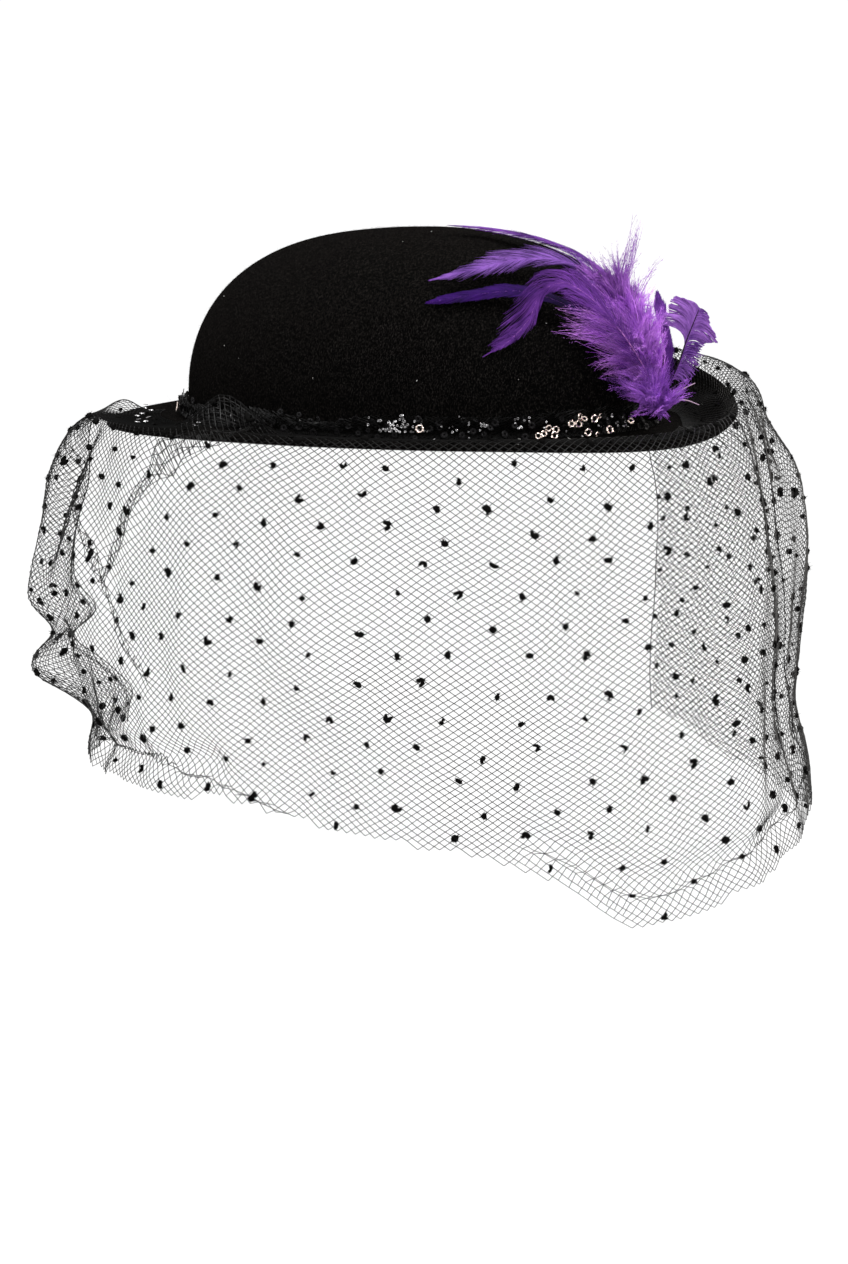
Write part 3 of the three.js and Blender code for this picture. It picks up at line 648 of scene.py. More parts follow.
def surface_samples(rings, count, rows, local):
    """Random places on a grid surface with their normals."""
    r = local.uniform(rows[0], rows[1] - 1.001, count)
    c = local.uniform(0, rings.shape[1], count)
    r0, c0 = r.astype(int), c.astype(int) % rings.shape[1]
    c1 = (c0 + 1) % rings.shape[1]
    fr, fc = (r - r0)[:, None], (c - c.astype(int))[:, None]
    a, b, d, e = rings[r0, c0], rings[r0, c1], rings[r0 + 1, c0], rings[r0 + 1, c1]
    place = (a * (1 - fc) + b * fc) * (1 - fr) + (d * (1 - fc) + e * fc) * fr
    area = np.linalg.norm(np.cross(b - a, d - a), axis=1)
    normal = unit(np.cross(d - a, b - a))
    return place, normal, area


NAP = {"tries": 150000, "count": 52000, "thickness": 0.05}
LINT_SPECKS = {"tries": 900, "count": 46, "thickness": 0.085}


def felt_nap(rings):
    """Short fibres that stand off the felt, and a few specks of lint on it."""
    local = np.random.default_rng(5)
    place, normal, area = surface_samples(rings, NAP["tries"], (0, 92), local)
    keep = local.uniform(0, 1, len(area)) < area / np.quantile(area, 0.97) * 0.55
    place, normal = place[keep][:NAP["count"]], normal[keep][:NAP["count"]]
    lean = unit(np.cross(normal, local.normal(size=normal.shape)))
    length = local.gamma(3.0, 0.28, len(place))[:, None]
    tips = place + length * (normal * local.uniform(0.25, 0.9, (len(place), 1)) + lean * 0.8)
    across = unit(np.cross(tips - place, local.normal(size=normal.shape)))
    fibres = spikes(place - 0.1 * normal, tips, np.full(len(place), NAP["thickness"]), across)
    new_piece("felt_nap", *fibres, NAP_FINISH, "felt")

    place, normal, area = surface_samples(rings, LINT_SPECKS["tries"], (0, 80), local)
    keep = local.uniform(0, 1, len(area)) < area / area.max() * 0.3
    place, normal = place[keep][:LINT_SPECKS["count"]], normal[keep][:LINT_SPECKS["count"]]
    n = len(place)
    step = np.linspace(-1, 1, 6)[None, :, None]
    lean = unit(np.cross(normal, local.normal(size=normal.shape)))[:, None, :]
    curl = np.cross(normal[:, None, :], lean) * local.uniform(-0.5, 0.5, (n, 1, 1))
    size = local.gamma(1.6, 0.14, (n, 1, 1))
    paths = place[:, None, :] + normal[:, None, :] * 0.3 + size * (lean * step + curl * step**2)
    specks = tubes(paths, np.full(paths.shape[:2], LINT_SPECKS["thickness"]), 4)
    new_piece("lint", *specks, LINT, "felt")


# ---------------------------------------------------------------- veil

FIRST_ROW = 12             # row of the brim's path where the net comes out of the ruffle
VEIL_LIFT = 1.3            # from the brim to the middle of the net that lies on it
CURVE_ROWS = 25            # rows of each of the two curves that the net falls in


def cubic(a, b, c, d, s):
    """A curve from a to d that b and c pull."""
    return a * (1 - s) ** 3 + 3 * b * s * (1 - s) ** 2 + 3 * c * s * s * (1 - s) + d * s**3


def veil_paths(bearing):
    """The net's path at each bearing: out, up and share of the drop, by row."""
    out, up, lean = brim_path(bearing, BRIM_STEPS)
    o, u = lifted(out, up, lean, VEIL_LIFT)
    last_lean = lean[:, -1]
    o, u = o[:, FIRST_ROW:], u[:, FIRST_ROW:]
    o_last, u_last = o[:, -1], u[:, -1]
    off_out = o_last + 3 * np.cos(rad(last_lean))
    off_up = u_last + 3 * np.sin(rad(last_lean))
    full_out = o_last + around(VEIL, "full", bearing)
    full_up = around(VEIL, "full_at", bearing)
    hem_out = o_last + around(VEIL, "hem", bearing)
    hem_up = around(VEIL, "hem_at", bearing)
    a = rad(8 + (last_lean - 8) * 0.6)
    away, down, drop = 0.55 * (full_out - off_out), 0.55 * (off_up - full_up), full_up - hem_up
    s = np.linspace(0, 1, CURVE_ROWS)[None, :]

    def curve(*places):
        return cubic(*(place[:, None] for place in places), s)

    shoulder = (
        curve(off_out, off_out + away * np.cos(a), full_out, full_out),
        curve(off_up, off_up + away * np.sin(a), full_up + down, full_up),
    )
    fall = (
        curve(full_out, full_out, hem_out, hem_out),
        curve(full_up, full_up - 0.4 * drop, hem_up + 0.3 * drop, hem_up),
    )
    share = np.concatenate([np.zeros(o.shape[1]), 0.5 * s[0], (0.5 + 0.5 * s[0])[1:]])
    return (
        np.concatenate([o, shoulder[0], fall[0][:, 1:]], axis=1),
        np.concatenate([u, shoulder[1], fall[1][:, 1:]], axis=1),
        share,
    )


# The path is tabled once, every half degree and every millimetre of its length.
PATH_STEP = 0.5
PATH_BEARINGS = np.arange(60, 440, PATH_STEP)
PATH_REACH = np.arange(0, 260.0)


def table_paths():
    """Out, up and share by bearing and length, and each path's whole length. Beyond the hem
    the path goes straight down."""
    out, up, share = veil_paths(PATH_BEARINGS)
    tabled = []
    lengths = []
    for o, u in zip(out, up):
        run = np.concatenate([[0], np.cumsum(np.hypot(np.diff(o), np.diff(u)))])
        lengths.append(run[-1])
        extra = np.clip(PATH_REACH - run[-1], 0, None)
        tabled.append(np.stack([
            np.interp(PATH_REACH, run, o),
            np.interp(PATH_REACH, run, u) - extra,
            np.interp(PATH_REACH, run, share) + extra / VEIL_LENGTH,
        ], axis=-1))
    return np.array(tabled), np.array(lengths)


PATHS, PATH_LENGTHS = table_paths()


def on_path(bearing, length):
    """Out, up and share at a bearing and a length along the path."""
    b = np.clip((bearing - PATH_BEARINGS[0]) / PATH_STEP, 0, len(PATH_BEARINGS) - 1.001)
    s = np.clip(length, 0, PATHS.shape[1] - 1.001)
    b0, s0 = b.astype(int), s.astype(int)
    fb, fs = (b - b0)[..., None], (s - s0)[..., None]
    near = PATHS[b0, s0] * (1 - fs) + PATHS[b0, s0 + 1] * fs
    far = PATHS[b0 + 1, s0] * (1 - fs) + PATHS[b0 + 1, s0 + 1] * fs
    mixed = near * (1 - fb) + far * fb
    return mixed[..., 0], mixed[..., 1], mixed[..., 2]


def from_creases(rows, bearing, share):
    """For each crease, the distance across it and beyond its ends, its last two columns and the
    way it runs. Distances are in millimetres of net."""
    for b0, s0, b1, s1, width, depth in zip(*rows.values()):
        run = np.array([(b1 - b0) * VEIL_GIRTH, (s1 - s0) * VEIL_LENGTH])
        size = np.hypot(*run)
        x = (bearing - b0) * VEIL_GIRTH
        y = (share - s0) * VEIL_LENGTH
        along = (x * run[0] + y * run[1]) / size
        across = (x * run[1] - y * run[0]) / size
        beyond = np.maximum(0, np.maximum(-along, along - size))
        yield across, beyond, width, depth, run / size


def fold_at(bearing, share):
    """How far the broad folds move the net out."""
    total = np.zeros_like(bearing)
    for across, beyond, width, depth, _ in from_creases(FOLDS, bearing, share):
        total -= depth * smooth(share / 0.3) * np.exp(-(across**2 + beyond**2) / width**2)
    return total


def pleated(bearing, share):
    """Shift across the pleats, along the girth and down, and the rise of each layer."""
    girth = np.zeros_like(bearing)
    down = np.zeros_like(bearing)
    rise = np.zeros_like(bearing)
    for across, beyond, width, fold, run in from_creases(PLEATS, bearing, share):
        fade = np.exp(-((beyond / 7.0) ** 2)) * np.exp(-0.5 * (across / width) ** 2)
        shift = -fold * across / width * fade
        girth += shift * run[1]
        down -= shift * run[0]
        rise += (0.5 + 0.06 * fold) * across / width * fade
    return girth, down, rise


def veil_surface(girth, length):
    """Points of the net from flat places: girth along the strip, length down from the ruffle."""
    bearing = girth / VEIL_GIRTH
    _, _, share = on_path(bearing, length)
    shift, drop, rise = pleated(bearing, share)
    wander = np.stack([girth, length, np.zeros_like(girth)], axis=-1)
    bearing = (girth + shift + uneven(wander, 45, 0.8, 21)) / VEIL_GIRTH
    length = length + drop + uneven(wander, 45, 0.7, 22)
    out, up, share = on_path(bearing, length)
    hanging = smooth(share / 0.2)
    long_waves = uneven(wander * np.array([1, 0.35, 1]), 26, 0.9, 23)
    ripple = hanging * (long_waves + uneven(wander, 14, 0.25, 24))
    out = out + fold_at(bearing, share) + rise + ripple
    for b, along, height, reach, span in zip(*PUFFS.values()):
        puff = np.exp(-(((bearing - b) / span) ** 2) - ((length - along) / reach) ** 2)
        up = up + height * puff * (1 - hanging)
    return beside_crown(bearing, out, up)


def path_length(bearing):
    """Length of net from the ruffle to the hem."""
    return np.interp(bearing, PATH_BEARINGS, PATH_LENGTHS)


def lattice_threads(where, valid, thread):
    """Both families of a diamond net's threads as three-sided tubes between knots."""
    ahead = np.roll(where, -1, axis=0) - np.roll(where, 1, axis=0)
    aside = np.roll(where, -1, axis=1) - np.roll(where, 1, axis=1)
    ahead[0], ahead[-1] = where[1] - where[0], where[-1] - where[-2]
    aside[:, 0], aside[:, -1] = where[:, 1] - where[:, 0], where[:, -1] - where[:, -2]
    normal = unit(np.cross(ahead, aside))
    radius = thread / 1.732
    near, far = slice(0, -1), slice(1, None)
    parts = []
    for way, a, b in ((1, (near, near), (far, far)), (-1, (near, far), (far, near))):
        both = valid[a] & valid[b]
        start, stop = where[a][both], where[b][both]
        along = unit(stop - start)
        side = way * 0.28 * thread
        rings = []
        for place, n in ((start, normal[a][both]), (stop, normal[b][both])):
            across = unit(np.cross(along, n))
            for turn in (0, 120, 240):
                c, s = math.cos(math.radians(turn)), math.sin(math.radians(turn))
                rings.append(place + n * side + radius * (c * across + s * n))
        points = np.stack(rings, axis=1).reshape(-1, 3)
        quads = np.array([[0, 1, 4, 3], [1, 2, 5, 4], [2, 0, 3, 5]])
        parts.append((points, copies(quads, len(start), 6)))
    return stacked(parts)


def in_strip(bearing, share, length):
    """Whether a place lies between the strip's two ends and above its hem."""
    first, second = (
        end["top"] + (end["foot"] - end["top"]) * share for end in (VEIL_FIRST, VEIL_SECOND)
    )
    return (bearing >= first) & (bearing <= second) & (length <= path_length(bearing))


# The strip is meshed as three panels that meet at lines of cells.
VEIL_PANELS = {
    "veil_net_right": {"from": 84, "to": 214, "thread": 0.255},
    "veil_net_front": {"from": 214, "to": 312, "thread": 0.255},
    "veil_net_left": {"from": 312, "to": 356, "thread": 0.252},
}
NET_ROWS = np.arange(0, 230.0, MESH["height"])
KNOT_JITTER = 0.09         # how far the knots lie from their places in an even net


def veil():
    """The net, thread by thread."""
    local = np.random.default_rng(8)
    for name, panel in VEIL_PANELS.items():
        first, last = (
            int(round(panel[end] * VEIL_GIRTH / MESH["width"])) for end in ("from", "to")
        )
        girth = np.arange(first, last + 1) * MESH["width"]
        g, l = np.meshgrid(girth, NET_ROWS, indexing="ij")
        jitter = local.normal(size=(2, *g.shape)) * KNOT_JITTER
        jitter[:, [0, -1], :] = 0
        where = veil_surface(g + jitter[0], l + jitter[1])
        _, _, share = on_path(g / VEIL_GIRTH, l)
        valid = in_strip(g / VEIL_GIRTH, share, l)
        threads = lattice_threads(where, valid, panel["thread"])
        piece = new_piece(name, *threads, NET_FINISH, "net", smooth_faces=False)
        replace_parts(piece, "veil")


def edge_cords():
    """The strip's two cut ends, each bound by a heavier thread."""
    paths = []
    for end in (VEIL_FIRST, VEIL_SECOND):
        length = np.linspace(0, 1, 160)
        bearing = np.full(160, end["top"])
        for _ in range(4):
            reach = length * path_length(bearing)
            _, _, share = on_path(bearing, reach)
            bearing = end["top"] + (end["foot"] - end["top"]) * share
        paths.append(veil_surface(bearing * VEIL_GIRTH, reach))
    paths = np.array(paths)
    threads = tubes(paths, np.full(paths.shape[:2], 0.22), 5)
    new_piece("veil_edge_threads", *threads, NET_FINISH, "net")


DOT_POINTS = 5
DOT_SHAPE = np.array([0.7, 1.0, 1.1, 1.0, 0.7])            # thickness along a dot
DOT_HAIRS = 44


def chenille_dots():
    """Short lengths of fuzzy yarn knotted into the net, each row set half a step along."""
    local = np.random.default_rng(14)
    places = []
    for k, row in enumerate(np.arange(6, 215, DOT["down"])):
        for step in np.arange(85 * VEIL_GIRTH, 356 * VEIL_GIRTH, DOT["across"]):
            places.append((step + (k % 2) * DOT["across"] / 2, row))
    places = np.array(places) + local.normal(size=(len(places), 2)) * np.array([2.6, 1.5])
    bearing = places[:, 0] / VEIL_GIRTH
    _, _, share = on_path(bearing, places[:, 1])
    places = places[in_strip(bearing, share, places[:, 1] + 2)]
    n = len(places)
    # A bent path in the flat net, raised onto the surface.
    turn = local.uniform(0, 2 * np.pi, n)[:, None]
    bend = local.normal(0, 0.8, n)[:, None]
    size = local.uniform(0.4, 0.9, n)[:, None] * DOT["size"]
    t = np.linspace(-1, 1, DOT_POINTS)[None, :]
    x, y = size * t, size * bend * (t**2 - 0.4)
    girth = places[:, :1] + x * np.cos(turn) - y * np.sin(turn)
    length = places[:, 1:] + x * np.sin(turn) + y * np.cos(turn)
    where = veil_surface(girth, length)
    thick = local.uniform(0.85, 1.5, n)[:, None] * local.uniform(0.65, 1.25, (n, DOT_POINTS))
    thick = thick * DOT_SHAPE
    core = tubes(where, thick * 0.75, 6)
    # Fuzz round the yarn.
    pick = local.integers(0, DOT_POINTS, (n, DOT_HAIRS))
    root = np.take_along_axis(where, pick[..., None], axis=1)
    way = unit(local.normal(size=(n, DOT_HAIRS, 3)))
    reach = np.take_along_axis(thick, pick, axis=1) * local.uniform(0.9, 1.7, (n, DOT_HAIRS))
    tips = root + way * reach[..., None]
    across = unit(np.cross(way, local.normal(size=way.shape)))
    hairs = spikes(root, tips, np.full((n, DOT_HAIRS), 0.36), across)
    points, corners, sizes = joined(core, hairs)
    new_piece("veil_dots", points, corners, CHENILLE_FINISH, "net", sizes=sizes)


# ---------------------------------------------------------------- gathered net and sequins

RUFFLE_GATHER = 2.3        # length of net for a length of crown
CROWN_RADIUS = 88.0        # of a circle about as long as the crown's foot
RUFFLE_DEPTH = 15.0        # the gathered strip, from its sewn edge to its free one


def ruffle_surface(turn, rise, seed):
    """Gathered net: turn is 0 to 1 round the crown and rise 0 to 1 up the band."""
    bearing = turn * 360.0
    height = around(RUFFLE, "height", bearing)
    flare = around(RUFFLE, "flare", bearing)
    wander = np.stack([turn * 520, rise * 10, np.zeros_like(turn)], axis=-1)
    fold = uneven(wander * np.array([1, 0.2, 1]), 4.0, 0.55, seed)
    fold = fold + uneven(wander, 16, 0.5, seed + 1)
    crease = 2.0 * uneven(wander * np.array([1, 0.3, 1]), 5.0, 1.0, seed + 2)
    out = 1.3 + flare * rise**2 + np.abs(fold) * (0.4 + rise)
    up = 0.9 + (height + 0.9 * uneven(wander, 20, 1.0, seed + 3) - 0.9) * rise
    base = np.clip((2.6 - up) / 2.6, 0, 1)
    return beside_crown(bearing + crease / 1.5, out + 3.2 * base**2, np.maximum(up, 0.7))


def net_ruffle():
    """Two layers of gathered net round the crown."""
    local = np.random.default_rng(31)
    nx = int(2 * math.pi * CROWN_RADIUS * RUFFLE_GATHER / MESH["width"])
    ny = int(RUFFLE_DEPTH / MESH["height"]) + 1
    turn, rise = np.meshgrid(np.arange(nx) / (nx - 1), np.linspace(0, 1, ny), indexing="ij")
    layers, girths = [], []
    for seed in (41, 61):
        where = ruffle_surface(turn + local.normal(size=turn.shape) * 0.0004, rise, seed)
        girths.append(np.linalg.norm(np.diff(where, axis=0), axis=2).sum(axis=0).mean())
        layers.append(lattice_threads(where, np.ones(turn.shape, bool), RUFFLE_THREAD))
    piece = new_piece(
        "gathered_net", *stacked(layers), BRAID_FINISH, "ruffle_net", smooth_faces=False,
    )
    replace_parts(piece, "net_ruffle")


SEQUIN_SIDES = 16
SCALLOPS = 8


def ring_sequins(places, outward, sizes, tilt, hole, local):
    """Shallow cups with a hole as joined meshes; the rim is scalloped where its facets meet."""
    n = len(places)
    lean = unit(np.cross(outward, local.normal(size=outward.shape)))
    axis = unit(outward + tilt[:, None] * lean)
    first = unit(np.cross(axis, np.tile([0.0, 0.0, 1.0], (n, 1)) + 0.01))
    second = np.cross(axis, first)
    turn = 2 * np.pi * np.arange(SEQUIN_SIDES) / SEQUIN_SIDES + local.uniform(0, 6.28, (n, 1))
    facets = np.cos(SCALLOPS * (turn - turn[:, :1]))
    middle = 0.5 * (1 + hole)
    # Reach, rise and how far the scallops show, from the rim over the face and back below.
    profile = (
        (1.0, 0.0, 1), (middle, 0.13, 0.4), (hole, 0.02, 0),
        (hole, -0.12, 0), (middle, -0.04, 0.4), (0.98, -0.14, 1),
    )
    rings = []
    for reach, rise, wavy in profile:
        edge = reach * (1 + wavy * ((1 + 0.05 * facets) - 1))
        bead = rise + 0.05 * wavy * facets
        rings.append(places[:, None, :] + sizes[:, None, None] * (
            (edge * np.cos(turn))[..., None] * first[:, None, :]
            + (edge * np.sin(turn))[..., None] * second[:, None, :]
            + bead[..., None] * axis[:, None, :]
        ))
    points = np.stack(rings, axis=1).reshape(-1, 3)
    rows = len(profile)
    # The last ring meets the first.
    faces = ring_faces(rows + 1, SEQUIN_SIDES) % (rows * SEQUIN_SIDES)
    return points, copies(faces, n, rows * SEQUIN_SIDES)


# Rose sequins on the band: place, size and how far they turn from the wall.
ROSE_SEQUINS = table(
    "bearing up size tilt",
    (216, 4.4, 1.55, 0.1), (242, 1.7, 1.2, 0.5), (244.5, 4.2, 1.25, 0.3),
    (246.4, 3.6, 1.35, 0.2), (246, 1.8, 1.45, 0.2), (250.4, 5.4, 1.3, 0.4),
    (252.6, 7.8, 1.2, 0.3), (252.4, 5.2, 1.45, 0.2), (257, 6.6, 1.5, 0.2),
    (255, 2.0, 1.45, 0.2), (257.6, 0.9, 1.2, 1.0), (261.8, 2.4, 1.5, 0.3),
    (269.4, 4.8, 1.25, 0.9), (258.6, 7.4, 1.1, 0.6), (243.4, 2.4, 1.1, 0.7),
    (254, 7.0, 1.1, 0.6),
)
# Clusters of rose sequins elsewhere on the band: middle by bearing and height, and the rest.
CLUSTERS = table(
    "bearing up count spread size",
    (300, 5, 4, 2.5, 1.35), (335, 4, 3, 2.0, 1.35), (20, 4, 4, 2.5, 1.35),
    (58, 4, 3, 2.0, 1.35), (96, 4, 4, 2.5, 1.35), (134, 4, 3, 2.0, 1.35),
)
# Patches of tiny sequins that glint through the net.
GLINTS = table(
    "bearing up count spread size",
    (210.5, 4.8, 50, 4.2, 0.46), (229.5, 5.4, 7, 1.2, 0.44), (238, 6.4, 9, 3.0, 0.42),
    (266, 5, 12, 4.0, 0.42), (172, 4, 9, 5.0, 0.4), (222, 5, 14, 6.0, 0.36),
    (252, 5, 14, 8.0, 0.36),
)
# Small sequins sewn to the brim: bearing and way along the felt.
BRIM_SEQUINS = table(
    "bearing along",
    (158, 26), (150, 19.6), (134, 13.4), (113, 18.4), (126, 10.5), (145, 13.4), (155, 20.2),
    (167, 12), (162, 5), (140, 16), (120, 15),
)
DARK_LEVELS = (2.4, 4.6, 6.8)                              # rows of black sequins
DARK_IN_A_ROW = 80


def scattered(rows, local):
    """Places, by bearing and height, of each cluster's members, and their sizes."""
    bearing, up, size = [], [], []
    for b, u, count, spread, each in zip(*rows.values()):
        n = int(count)
        bearing.append(b + local.normal(0, spread * 0.62, n))
        up.append(u + local.normal(0, min(spread, 3) * 0.6, n))
        size.append(each * local.uniform(0.8, 1.15, n))
    return np.concatenate(bearing), np.clip(np.concatenate(up), 0.9, 9), np.concatenate(size)


def sewn_to_band(name, look, bearing, up, out, size, tilt, hole, local):
    """Sequins that stand out from the crown's wall and face a little up."""
    places = beside_crown(bearing, out, up)
    outward = unit(beside_crown(bearing, out + 1, up + 0.15) - places)
    if size is None:
        size = local.uniform(0.9, 1.4, len(bearing))
    if np.isscalar(tilt):
        tilt = local.normal(0, tilt, len(bearing))
    mesh = ring_sequins(places, outward, size, tilt, hole, local)
    return new_piece(name, *mesh, look, "sequins", smooth_faces=False)


def sequin_braid():
    """Black sequins in staggered rows round the crown, with rose and silvery ones among them."""
    local = np.random.default_rng(77)
    bearing, up = [], []
    for row, level in enumerate(DARK_LEVELS):
        step = np.arange(DARK_IN_A_ROW) + 0.5 * (row % 2) + local.normal(0, 0.2, DARK_IN_A_ROW)
        bearing.append(step * 360 / DARK_IN_A_ROW)
        up.append(level + local.normal(0, 0.6, DARK_IN_A_ROW))
    bearing, up = np.concatenate(bearing), np.concatenate(up)
    out = BRAID_OUT + local.uniform(0.0, 0.7, len(bearing))
    dark = sewn_to_band("dark_sequins", DARK_SEQUIN, bearing, up, out, None, 0.5, 0.3, local)
    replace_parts(dark, "sequin_braid")

    scatter = dict(zip(("bearing", "up", "size"), scattered(CLUSTERS, local)))
    scatter["tilt"] = local.normal(0, 0.3, len(scatter["bearing"]))
    rose = {key: np.concatenate([ROSE_SEQUINS[key], scatter[key]]) for key in scatter}
    out = BRAID_OUT + 1.6 + local.uniform(0, 0.4, len(rose["bearing"]))
    sewn_to_band(
        "rose_sequins", ROSE_SEQUIN, rose["bearing"], rose["up"], out, rose["size"], rose["tilt"],
        0.54, local,
    )

    bearing, up, size = scattered(GLINTS, local)
    out = BRAID_OUT + 1.0 + local.uniform(0, 0.6, len(bearing))
    sewn_to_band("small_sequins", SILVER_SEQUIN, bearing, up, out, size, 0.8, 0.5, local)


def brim_sequins():
    """Small ringed sequins sewn to the brim."""
    local = np.random.default_rng(19)
    bearing = BRIM_SEQUINS["bearing"]
    path = brim_path(bearing, BRIM_STEPS)
    row = ROOT_ROWS + BRIM_SEQUINS["along"] / around(BRIM, "width", bearing) * BRIM_STEPS
    at = np.arange(len(row))
    before = row.astype(int)
    out, up, lean = (
        v[at, before] + (v[at, before + 1] - v[at, before]) * (row - before) for v in path
    )
    out, up = lifted(out, up, lean, 2.2)
    places = beside_crown(bearing, out, up)
    above = beside_crown(bearing, out - np.sin(rad(lean)), up + np.cos(rad(lean)))
    size, tilt = np.full(len(row), 0.95), local.normal(0, 0.2, len(row))
    mesh = ring_sequins(places, unit(above - places), size, tilt, 0.5, local)
    new_piece("brim_sequins", *mesh, SILVER_SEQUIN, "sequins", smooth_faces=False)


# ---------------------------------------------------------------- feathers

def binding_place(side, out, up):
    """A place by the binding: beside its middle, out from it, and its height."""
    here = beside_crown(BINDING["bearing"], BINDING["out"] + out, up)
    t = math.radians(BINDING["bearing"])
    run = unit(np.array([
        -CROWN["half_width"] * math.sin(t), CROWN["half_length"] * math.cos(t), 0.0,
    ]))
    return here + side * run


QUILL_SEAT = BINDING["up"] + BINDING["radius"] + 0.35


def facing_frames(places, along, facing):
    """Which way a feather faces, and across it. With no facing it lies against the crown."""
    if facing is None:
        size = np.array([CROWN["half_width"], CROWN["half_length"], CROWN["height"]])
        x, y, z = places.T
        towards = unit(np.stack([x, y, np.maximum(z, 0)], axis=1) / size**2)
    else:
        towards = np.tile(np.asarray(facing, float), (len(places), 1))
    normal = unit(towards - (towards * along).sum(axis=1, keepdims=True) * along)
    return normal, np.cross(along, normal)


QUILL_ROWS = 160
QUILL_SIDES = 7
BARB_POINTS = 6
CLUMP_SPACING = 2.2        # millimetres of quill for each clump of barbs


def streak_map(along, across):
    """A ribbon's map: the same place for the two points of each of its steps."""
    both = np.stack(np.broadcast_arrays(along, across), axis=-1)
    return np.repeat(both.reshape(-1, 2), 2, axis=0)


def vane(name, *, foot, quill, rows, facing, look, slot, density, angle, lean_in, seed, shaft,
         split=0.3, loose=0.0, fluff_to=0.0, fluff=1.8, cup=0.06, barb=0.34, ragged=0.06,
         follow=0.5, shaft_look=PURPLE_QUILL):
    """A feather: a tapered quill with separate barbs on either side.

    `rows` gives barb reach by share of the quill; below `fluff_to` the barbs are long and loose;
    `split` is how far they part into clumps; `follow` says how far they bend with the quill."""
    local = np.random.default_rng(seed)
    start = binding_place(*foot, QUILL_SEAT)
    line, along, size = curve_through([start, *quill], QUILL_ROWS)
    normal, across = facing_frames(line, along, facing)
    share = np.linspace(0, 1, QUILL_ROWS)
    thickness = shaft * (1 - 0.86 * share)
    raised = line + normal * thickness[:, None] * 0.85
    new_piece(
        name + "_quill", *tubes(line[None], thickness[None], QUILL_SIDES), shaft_look, slot,
    )

    sheets, uvs = [], []
    begin = rows["along"][0] * 0.6
    reach_at = np.concatenate([[0], rows["along"], [1.0001]])
    marks = np.arange(0, size + 4, CLUMP_SPACING)
    count = int(size * (1 - begin) * density)
    t = np.linspace(0, 1, BARB_POINTS)[None, :]
    for way, column in ((-1, "left"), (1, "right")):
        s = begin + (1 - begin) * (np.arange(count) + local.uniform(0, 1, count)) / count
        reach = np.interp(s, reach_at, np.concatenate([[0.5], rows[column], [0.3]]))
        soft = smooth((fluff_to - s) / 0.12 + 0.5) if fluff_to else np.zeros(count)
        clump = np.interp(s * size, marks, local.normal(0, split, len(marks)))
        reach = reach * (
            1 + local.normal(0, ragged, count) + soft * local.uniform(0.1, fluff - 1, count)
            + 0.25 * clump * split
        )
        place, a, nrm, acr = (along_line(share, v, s) for v in (raised, along, normal, across))
        a, nrm, acr = (unit(v)[:, None, :] for v in (a, nrm, acr))
        opened = np.radians(angle + 9 * clump + soft * local.normal(8, 16, count))[:, None]
        closed = np.radians(lean_in + 9 * clump + soft * local.normal(6, 20, count))[:, None]
        bend = opened + (closed - opened) * t
        step = reach[:, None] / np.sin(np.clip(0.5 * (opened + closed), 0.25, 1.5))
        sideways = np.cumsum(np.sin(bend) * step / (BARB_POINTS - 1), axis=1)
        forwards = np.cumsum(np.cos(bend) * step / (BARB_POINTS - 1), axis=1)
        sideways, forwards = sideways - sideways[:, :1], forwards - forwards[:, :1]
        lift = (
            -cup * sideways * t
            + loose * local.normal(0, 1, (count, 1)) * t * reach[:, None] * 0.3
            + (soft * local.normal(0, 0.5, count))[:, None] * t * reach[:, None]
            + 0.1 * clump[:, None] * sideways
        )
        phase = local.uniform(0, 6, (count, 1))
        wave = (0.12 * loose + 0.2 * soft)[:, None] * np.sin(t * 7 + phase) * reach[:, None] * 0.25
        aside = (sideways + wave)[..., None]
        straight = (
            place[:, None, :] + way * acr * aside + a * forwards[..., None]
            + nrm * lift[..., None]
        )
        ahead = s[:, None] + forwards / size
        on_line, on_normal, on_across = (
            along_line(share, v, ahead) for v in (raised, normal, across)
        )
        beyond = np.maximum(ahead - 1, 0)[..., None] * size * along[-1]
        curved = on_line + beyond + way * on_across * aside + on_normal * lift[..., None]
        paths = straight + follow * (curved - straight)
        widths = barb * (1 - 0.78 * t) * (1 - 0.6 * soft[:, None])
        direction = unit(np.gradient(paths, axis=1))
        flat = unit(np.cross(direction, nrm + 0.25 * local.normal(size=(count, 1, 3))))
        sheets.append(ribbons(paths, widths, flat))
        uvs.append(streak_map(s[:, None], 0.5 + 0.49 * way * t))
    return new_piece(name, *stacked(sheets), look, slot, uv=np.concatenate(uvs))


